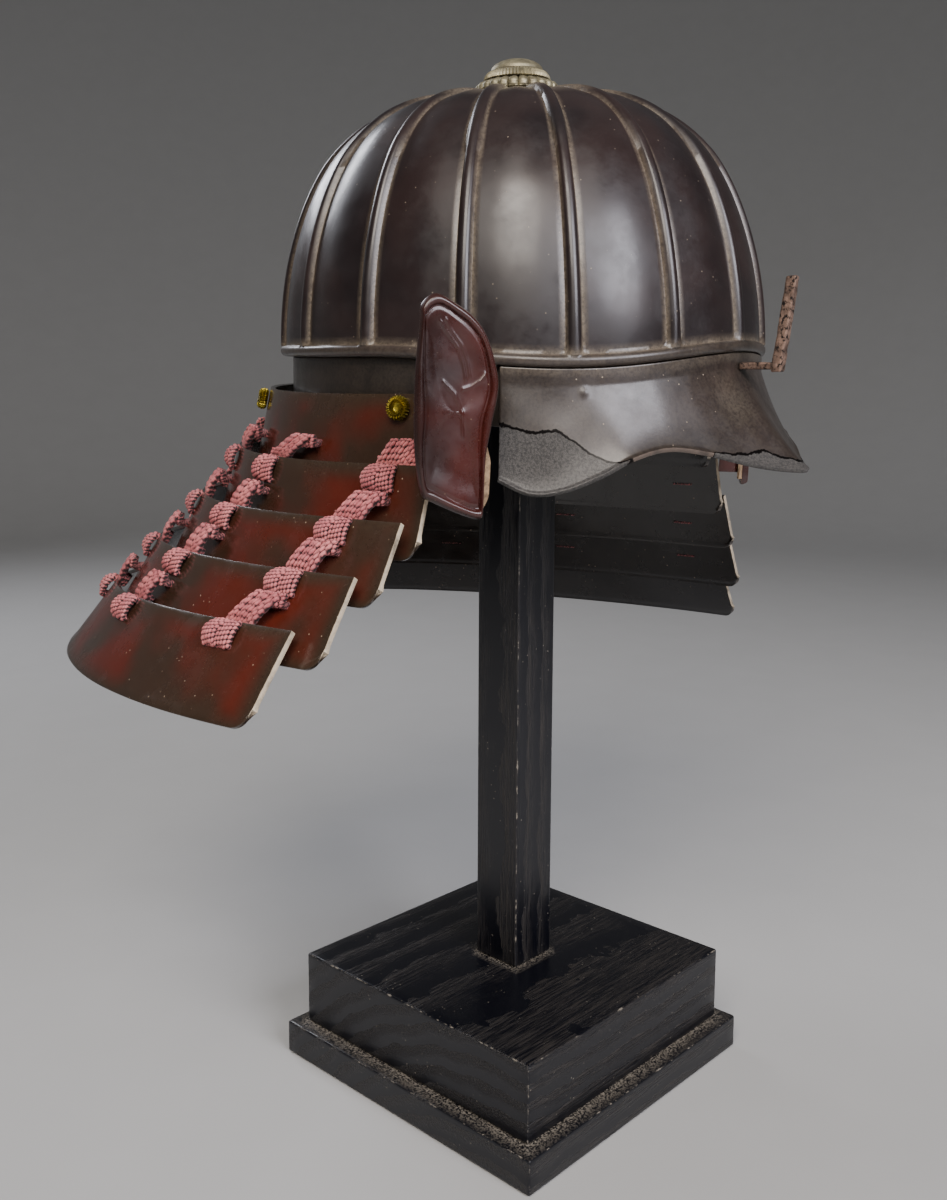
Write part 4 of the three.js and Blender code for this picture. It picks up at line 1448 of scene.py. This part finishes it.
@dataclass
class Lacing:
    """Columns of silk lacing, with an arc of cords and a crossed knot at each overlap."""

    lames: Sequence[Lame] = LAMES
    columns: int = 9
    arc_cords: int = 8
    arc_width: float = 13.2
    arc_rise: float = 5.0
    exit_above: float = 6.2
    knot_middle: float = 5.8
    knot_half: float = 4.5
    knot_bundles: tuple[Bundle, ...] = (Bundle(6, -2.2, 8.4, -2.0, 8.2, 1.6, -0.3),
                                        Bundle(5, 4.2, 5.2, 1.9, 6.4, 3.0, 1.2))
    ahead: float = 12.6
    braid: Braid = field(default_factory=Braid)

    def angle(self, lame: Lame, column: int, ahead: float = 0.0) -> float:
        """Returns the angle of a column on a lame, or of a place some mm ahead of it.

        Args:
            lame: the lame.
            column: the column's number, from 0 at the right.
            ahead: mm from the column toward the front, for an end column.

        Returns:
            The angle in radians.
        """
        start = math.radians(lame.lacing_start)
        angle = mix(start, math.pi - start, column / (self.columns - 1))
        if not ahead:
            return angle
        forward = math.asin(math.sin(angle) - ahead / lame.front_axis)
        return forward if column == 0 else math.pi - forward

    def share_at(self, lame: Lame, angle: float, height: float) -> float:
        """Returns the share down a lame's face at which it has a height."""
        top = lame.point(angle, 0).z
        return (top - height) / (top - lame.point(angle, 1).z)

    def make_arc(self, cord: Mesh, upper: Lame, lower: Lame, column: int,
                 ahead: float = 0.0) -> list[Mesh]:
        """Lays the cords that bow out of the upper lame and down behind the lower one.

        Args:
            cord: the straight cord.
            upper: the lame above.
            lower: the lame below.
            column: the column's number, from 0 at the right.
            ahead: mm from the column toward the front.

        Returns:
            The laid cords.
        """
        angle, below = self.angle(upper, column, ahead), self.angle(lower, column, ahead)
        start = upper.spot(angle, self.share_at(upper, angle, lower.point(below, 0).z + self.exit_above))
        end = lower.spot(below, 0.0, -lower.wall)
        laid = []
        for index in range(self.arc_cords):
            across = (index / (self.arc_cords - 1) - 0.5) * self.arc_width
            lag = math.sin(index * 2.3 + column * 1.9)
            over = start.at(across * 1.02, -2.0, self.arc_rise + 0.5 * lag)
            points = [
                start.at(across * 0.8, -1.2, -2.4), start.at(across * 0.84, 0.6, 0.8),
                start.at(across * 0.94, 1.3 + 0.5 * lag, 3.4 + 0.4 * lag), over,
                over.lerp(end.at(across, 1.5, -1.3), 0.55) + start.out * 1.6,
                end.at(across, 0.6, -1.5), end.at(across, -4.0, -1.7),
            ]
            outs = [start.up, start.up + start.out, start.out, start.out, start.out, end.out, end.out]
            laid.append(self.braid.lay(cord, points, outs, index * 2.1 + column, 1.9))
        return laid

    def make_knot(self, cord: Mesh, lower: Lame, column: int) -> list[Mesh]:
        """Lays a knot: one bundle falls straight, and a second crosses over its side.

        Args:
            cord: the straight cord.
            lower: the lame that it lies on.
            column: the column's number, from 0 at the right.

        Returns:
            The laid cords.
        """
        middle = lower.spot(self.angle(lower, column), self.knot_middle / lower.slant)
        tall = self.knot_half
        laid = []
        for order, bundle in enumerate(self.knot_bundles):
            for index in range(bundle.cords):
                spread = index / (bundle.cords - 1) - 0.5
                high = bundle.top + spread * bundle.top_width
                low = bundle.bottom + spread * bundle.bottom_width
                hump = bundle.rise + math.cos(spread * 2.6)
                sway = 0.3 * math.sin(index * 1.7 + column * 2.3 + order)
                waist = mix(high, low, 0.5) + bundle.shift
                points = [
                    middle.at(high * 0.85, tall - 0.6, -1.4), middle.at(high, tall + 0.3 + sway, 1.0),
                    middle.at(mix(high, waist, 0.5), tall * 0.62, hump * 0.92),
                    middle.at(waist + sway, 0, hump + 0.3),
                    middle.at(mix(low, waist, 0.5), -tall * 0.62, hump * 0.92),
                    middle.at(low, -tall - 0.3 + sway, 1.0), middle.at(low * 0.9, -tall + 0.6, -1.4),
                ]
                outs = [middle.up, middle.up + middle.out, middle.out, middle.out, middle.out,
                        middle.out - middle.up, -middle.up]
                laid.append(self.braid.lay(cord, points, outs, index * 1.3 + column * 2, 1.4))
        return laid

    def build(self) -> None:
        """Makes and dresses the nine columns."""
        silk = SILK.make()
        cord = self.braid.model()
        for column in range(self.columns):
            laid = []
            for upper, lower in zip(self.lames, self.lames[1:]):
                laid += self.make_arc(cord, upper, lower, column)
                laid += self.make_knot(cord, lower, column)
            if column in (0, self.columns - 1):
                laid += self.make_arc(cord, self.lames[0], self.lames[1], column, self.ahead)
            lacing = join(f"lacing_column_{column + 1}", laid)
            settle(lacing)
            smooth(lacing, 80)
            put(lacing, silk, "silk_braid", f"lacing_{column + 1}")
        bpy.data.objects.remove(cord)


@dataclass
class Rosettes:
    """Four gilt chrysanthemum bosses on the uppermost lame."""

    lame: Lame = LAMES[0]
    angles: tuple[float, ...] = (-9.8, 48.0, 132.0, 189.8)
    down: float = 6.0
    petals: int = 22
    profile: tuple[Vector, ...] = tuple(Vector((radius, height, 0)) for radius, height in (
        (0, 0.2), (3.9, 0.2), (4.9, 0.9), (5.3, 2.2), (5.0, 3.4), (4.2, 4.3), (3.3, 4.6),
        (2.7, 3.8), (2.0, 2.4), (0, 1.9)))

    def shape(self, across: float, down: float) -> Vector:
        """Returns a point of the boss: ribbed petals round a bright cup.

        Args:
            across: share round the boss.
            down: share along the profile.

        Returns:
            The point in mm.
        """
        angle = math.tau * across
        radius, height, _ = curve_through(self.profile, down * (len(self.profile) - 1))
        petal = 0.5 + 0.5 * math.cos(angle * self.petals + (math.pi if height > 3.7 else 0))
        outer = smooth_step(2.4, 3.6, radius)
        beads = 0.5 + 0.5 * math.cos(height * 5.2)
        cut = (1.15 * (1 - petal) + 0.35 * (1 - beads)) * outer
        radius = max(0.0, radius - cut) if 0 < down < 1 else 0.0
        lift = 0.6 * (petal - 0.5) * outer * smooth_step(2, 4, height)
        return Vector((radius * math.cos(angle), radius * math.sin(angle), height + lift))

    def build(self) -> None:
        """Makes and dresses the bosses."""
        gilt = GILT.make()
        for index, degrees in enumerate(self.angles):
            share = self.down / (self.lame.top.height - self.lame.bottom.height)
            spot = self.lame.spot(math.radians(degrees), share)
            boss = grid(f"rosette_boss_{index + 1}", self.petals * 8, 54, self.shape, around=True)
            face_out(boss, Vector((0, 0, 2)))
            turned = Matrix((spot.across, spot.up, spot.out)).transposed().to_4x4()
            if turned.determinant() < 0:
                turned = turned @ Matrix.Diagonal((-1, 1, 1, 1))
            settle(boss, Matrix.Translation(spot.point * MM) @ turned)
            smooth(boss, 60)
            put(boss, gilt, "gilt_brass", f"rosette_{index + 1}")


class Side(Enum):
    """The wearer's side of a turned-back wing."""

    RIGHT = -1
    LEFT = 1


@dataclass
class Wing:
    """A turned-back wing: a dished plate with a raised rim and faint ridges beaten up in it."""

    side: Side
    wall: float = 2.2
    bead: float = 1.6
    bead_width: float = 3.4
    dish: float = 0.9
    face_share: float = 0.72
    side_share: float = 0.78
    front: tuple[float, float] = (-110.0, -67.5)
    rear: tuple[float, float] = (-135.0, -51.0)
    lean: float = 2.0
    height: float = -62.0
    level: float = 354.0
    middle: Vector = field(default_factory=lambda: Vector((-16.5, 40, 0)))
    edge: tuple[tuple[float, float], ...] = (
        (-7, 0), (-5.4, 3), (-4.6, 22), (-2.6, 34.6), (0, 49), (-1.6, 59), (-5.2, 68.6), (-10, 74.6),
        (-16, 78.8), (-24, 82.5), (-29.4, 79), (-30.2, 72), (-31.7, 51.5), (-31.7, 28), (-30.5, 16),
        (-28.7, 9), (-25.2, 7), (-14.7, 2.3))
    ridges: tuple[tuple[tuple[float, float], ...], ...] = (
        ((-22.5, 73), (-20.5, 70), (-15.8, 64), (-13.6, 58), (-12.4, 52)),
        ((-20.8, 74), (-18.6, 70), (-14.2, 64.5), (-11.8, 58), (-10.8, 53)),
        ((-13.6, 48.4), (-10.2, 49.4), (-7.0, 51.6), (-5.2, 54)),
        ((-21, 51), (-16.5, 46.5), (-13.8, 40), (-13.4, 31)))

    def outline(self, across: float) -> Vector:
        """Returns a point of the wing's edge, at a share round it from its lower front corner."""
        count = len(self.edge)
        points = [Vector((*point, 0)) for point in (*self.edge[-2:], *self.edge, *self.edge[:3])]
        return curve_through(points, 2 + (across % 1.0) * count)

    def ridge(self, point: Vector) -> float:
        """Returns the height of the beaten ridges at a point of the face.

        Args:
            point: a place on the face in mm.

        Returns:
            The height in mm.
        """
        best = FAR
        for line in self.ridges:
            for start, end in zip(line, line[1:]):
                a, b = Vector(start), Vector(end)
                t = clamp((point.xy - a).dot(b - a) / (b - a).length_squared)
                best = min(best, (point.xy - a.lerp(b, t)).length)
        return 0.4 * math.exp(-(best / 0.5) ** 2)

    def spread(self, across: float, down: float) -> tuple[Vector, float, float]:
        """Returns a place on the plate, its distance to the edge, and its height over the back.

        Args:
            across: share round the plate.
            down: share from the middle of the face, over the edge, to the middle of the back.

        Returns:
            The place in mm, the distance in mm and the height in mm.
        """
        edge = self.outline(across)
        outward = edge - self.middle
        face, side = self.face_share, self.side_share
        if face <= down < side:
            swing = math.pi * (down - face) / (side - face)
            rounded = edge + outward.normalized() * 0.5 * math.sin(swing)
            return rounded, 0.0, self.wall * (0.5 + 0.5 * math.cos(swing))
        inward = (1 - down / face) ** 1.35 if down < face else ((down - side) / (1 - side)) ** 1.2
        gap = inward * outward.length
        place = edge.lerp(self.middle, inward)
        dish = -self.dish * smooth_step(4, 16, gap)
        if down >= side:
            return place, 20.0, dish
        half = self.bead_width / 2
        hump = self.bead * math.sqrt(max(0.0, 1 - ((gap - half) / half) ** 2))
        groove = 0.35 * math.exp(-((gap - self.bead_width - 0.6) / 0.8) ** 2)
        return place, gap, self.wall + hump - groove + dish + self.ridge(place)

    def shape(self, across: float, down: float) -> Vector:
        """Returns a point of the plate in its own plane, with its height as z."""
        place, _, height = self.spread(across, down)
        return Vector((place.x, place.y, height))

    @property
    def place(self) -> Matrix:
        """The matrix from the right wing's plane in metres to the object's frame."""
        across = Vector((self.front[0] - self.rear[0], self.front[1] - self.rear[1], 0)).normalized()
        up = Vector((0, 0, 1)) + Vector((across.y, -across.x, 0)) * math.sin(math.radians(self.lean))
        up.normalize()
        turned = Matrix((across, up, across.cross(up).normalized())).transposed().to_4x4()
        base = Vector((*self.front, self.height + self.level)) * MM
        return Matrix.Translation(base) @ turned

    def fold(self, across: float, down: float) -> Vector:
        """Returns a point of the curved strip that joins the wing to the lame behind it.

        Args:
            across: share across the strip.
            down: share along it.

        Returns:
            The point in mm, in the wing's plane.
        """
        swing = across * math.pi * 0.55
        up = mix(6.0, 46.0, down)
        bulge = 4.2 * math.sin(swing)
        return Vector((-8.5 + bulge + 0.06 * (up - 6), up, 0.4 - 12.5 * (1 - math.cos(swing)) / 1.16))

    def to_edge(self, across: float, down: float) -> float:
        """Returns the distance in mm to the plate's edge, which is worn most at its rear."""
        return self.spread(across, down)[1] + (0.8 if 0.42 < across < 0.8 else 1.6)

    def wedge(self, across: float, down: float) -> Vector:
        """Returns a point of the leather wedge, which is narrow at both ends.

        Args:
            across: share across the wedge.
            down: share along it.

        Returns:
            The point in mm, in the wing's plane.
        """
        width = smooth_step(0.0, 0.45, 1 - down) * smooth_step(-0.1, 0.2, down)
        return Vector((-5.6 + 1.4 * down + mix(-0.5, 3.4, across) * width, mix(2.5, 33.0, down),
                       0.2 - 2.0 * across))

    def build(self, lacquer: bpy.types.Material, hide: bpy.types.Material) -> None:
        """Makes and dresses the wing, its fold and the leather wedge in the fold.

        Args:
            lacquer: the plate's finish.
            hide: the wedge's finish.
        """
        word = self.side.name.lower()
        mirror = Matrix.Diagonal((-1, 1, 1, 1)) if self.side is Side.LEFT else Matrix.Identity(4)
        plate = grid("wing_plate", 200, 84, self.shape,
                     {"dust": lambda across, down: 0.3, "edge": self.to_edge}, around=True)
        face_out(plate, self.middle + Vector((0, 0, 1)))
        fold = grid("wing_fold", 16, 30, self.fold,
                    {"dust": lambda across, down: 0.5,
                     "edge": lambda across, down: 3 + min(down, 1 - down) * 38})
        apply_modifier(fold, "SOLIDIFY", thickness=self.wall * MM, offset=0.0)
        wing = join(f"wing_{word}_plate", [plate, fold])
        wedge = grid(f"wing_{word}_leather", 6, 24, self.wedge)
        apply_modifier(wedge, "SOLIDIFY", thickness=1.1 * MM, offset=0.0)
        for piece, finish, slot, nodes in ((wing, lacquer, "red_lacquer", (f"turnback_{word}",)),
                                           (wedge, hide, "red_lacquer", ())):
            settle(piece, mirror @ self.place)
            if self.side is Side.LEFT:
                piece.data.flip_normals()
            smooth(piece, 50)
            put(piece, finish, slot, *nodes)


# ---- Studio -----------------------------------------------------------------------------


@dataclass(frozen=True)
class Lamp:
    """One soft light: its place, aim and size in metres, its power in watts and its colour."""

    name: str
    place: tuple[float, float, float]
    aim: tuple[float, float, float]
    size: tuple[float, float]
    power: float
    colour: str

    def build(self) -> None:
        """Adds the light."""
        deselect_all()
        bpy.ops.object.light_add(type="AREA", location=self.place)
        lamp = bpy.context.object
        lamp.name = self.name
        lamp.rotation_euler = (Vector(self.aim) - Vector(self.place)).to_track_quat("-Z", "Y").to_euler()
        lamp.data.shape = "RECTANGLE"
        lamp.data.size, lamp.data.size_y = self.size
        lamp.data.energy = self.power
        lamp.data.color = linear(self.colour)[:3]


@dataclass
class Studio:
    """A pale floor, three soft lights and the camera, in metres and watts."""

    eye: tuple[float, float, float] = (-0.4698, -0.3351, 0.3383)
    heading: float = math.radians(37.62)
    pitch: float = math.radians(7.505)
    roll: float = math.radians(0.227)
    lens: float = 35.32
    shift: float = -0.0417
    floor_side: float = 11.0
    floor_level: float = -0.0005
    flat_radius: float = 2.2
    backdrop_rise: float = 2.6
    lamps: tuple[Lamp, ...] = (
        Lamp("key_softbox", (-1.2, -0.66, 1.35), (0, 0, 0.34), (0.9, 0.8), 30, "#fff6ec"),
        Lamp("front_softbox", (-0.42, -1.45, 1.0), (0, 0, 0.33), (0.9, 0.75), 28, "#f7f6ff"),
        Lamp("back_softbox", (0.25, 1.5, 1.25), (0, 0, 0.4), (0.6, 0.6), 13, "#f4f6ff"))
    air: str = "#a9abad"
    air_strength: float = 0.3

    def make_camera(self) -> None:
        """Sets up the camera."""
        deselect_all()
        bpy.ops.object.camera_add()
        camera = bpy.context.object
        camera.name = "view"
        ahead = Vector((math.cos(self.pitch) * math.cos(self.heading),
                        math.cos(self.pitch) * math.sin(self.heading), -math.sin(self.pitch)))
        turned = ahead.to_track_quat("-Z", "Y").to_matrix().to_4x4() @ Matrix.Rotation(self.roll, 4, "Z")
        camera.matrix_world = Matrix.Translation(self.eye) @ turned
        camera.data.lens = self.lens
        camera.data.sensor_width = 36.0
        camera.data.shift_y = self.shift
        camera.data.clip_start = 0.02
        bpy.context.scene.camera = camera

    def make_floor(self) -> None:
        """Makes the plain pale floor, whose far edges rise softly into a backdrop."""
        def shape(across: float, down: float) -> Vector:
            """Returns a point of the floor."""
            x, y = (across - 0.5) * self.floor_side, (down - 0.5) * self.floor_side
            far = max(0.0, math.hypot(x, y) - self.flat_radius)
            return Vector((x, y, self.floor_level + far * far / self.backdrop_rise)) / MM

        floor = grid("floor", 60, 60, shape)
        smooth(floor)
        floor.data.materials.append(FLOOR_PAINT.make())

    def build(self) -> None:
        """Sets up the camera, the floor, the lights and the surroundings."""
        self.make_camera()
        self.make_floor()
        for lamp in self.lamps:
            lamp.build()
        world = bpy.data.worlds.new("studio_air")
        bpy.context.scene.world = world
        world.use_nodes = True
        background = world.node_tree.nodes["Background"]
        fill(world.node_tree, background, {"Color": self.air, "Strength": self.air_strength})


def main() -> None:
    """Builds the helmet and its stand, piece by piece."""
    logging.basicConfig(level=logging.INFO, format="%(name)s %(message)s")
    Studio().build()
    Stand().build()
    bowl = Bowl()
    bowl.build()
    WaistBand(bowl).build()
    Peak(bowl).build()
    CrestProng(bowl).build()
    Finial(bowl).build(BRONZE.make())
    red, cinnabar, hide = RED_LACQUER.make(), WING_LACQUER.make(), HIDE.make()
    for lame in LAMES:
        lame.build(red)
    for side in Side:
        Wing(side).build(cinnabar, hide)
    Rosettes().build()
    Lacing().build()


if __name__ == "__main__":
    main()
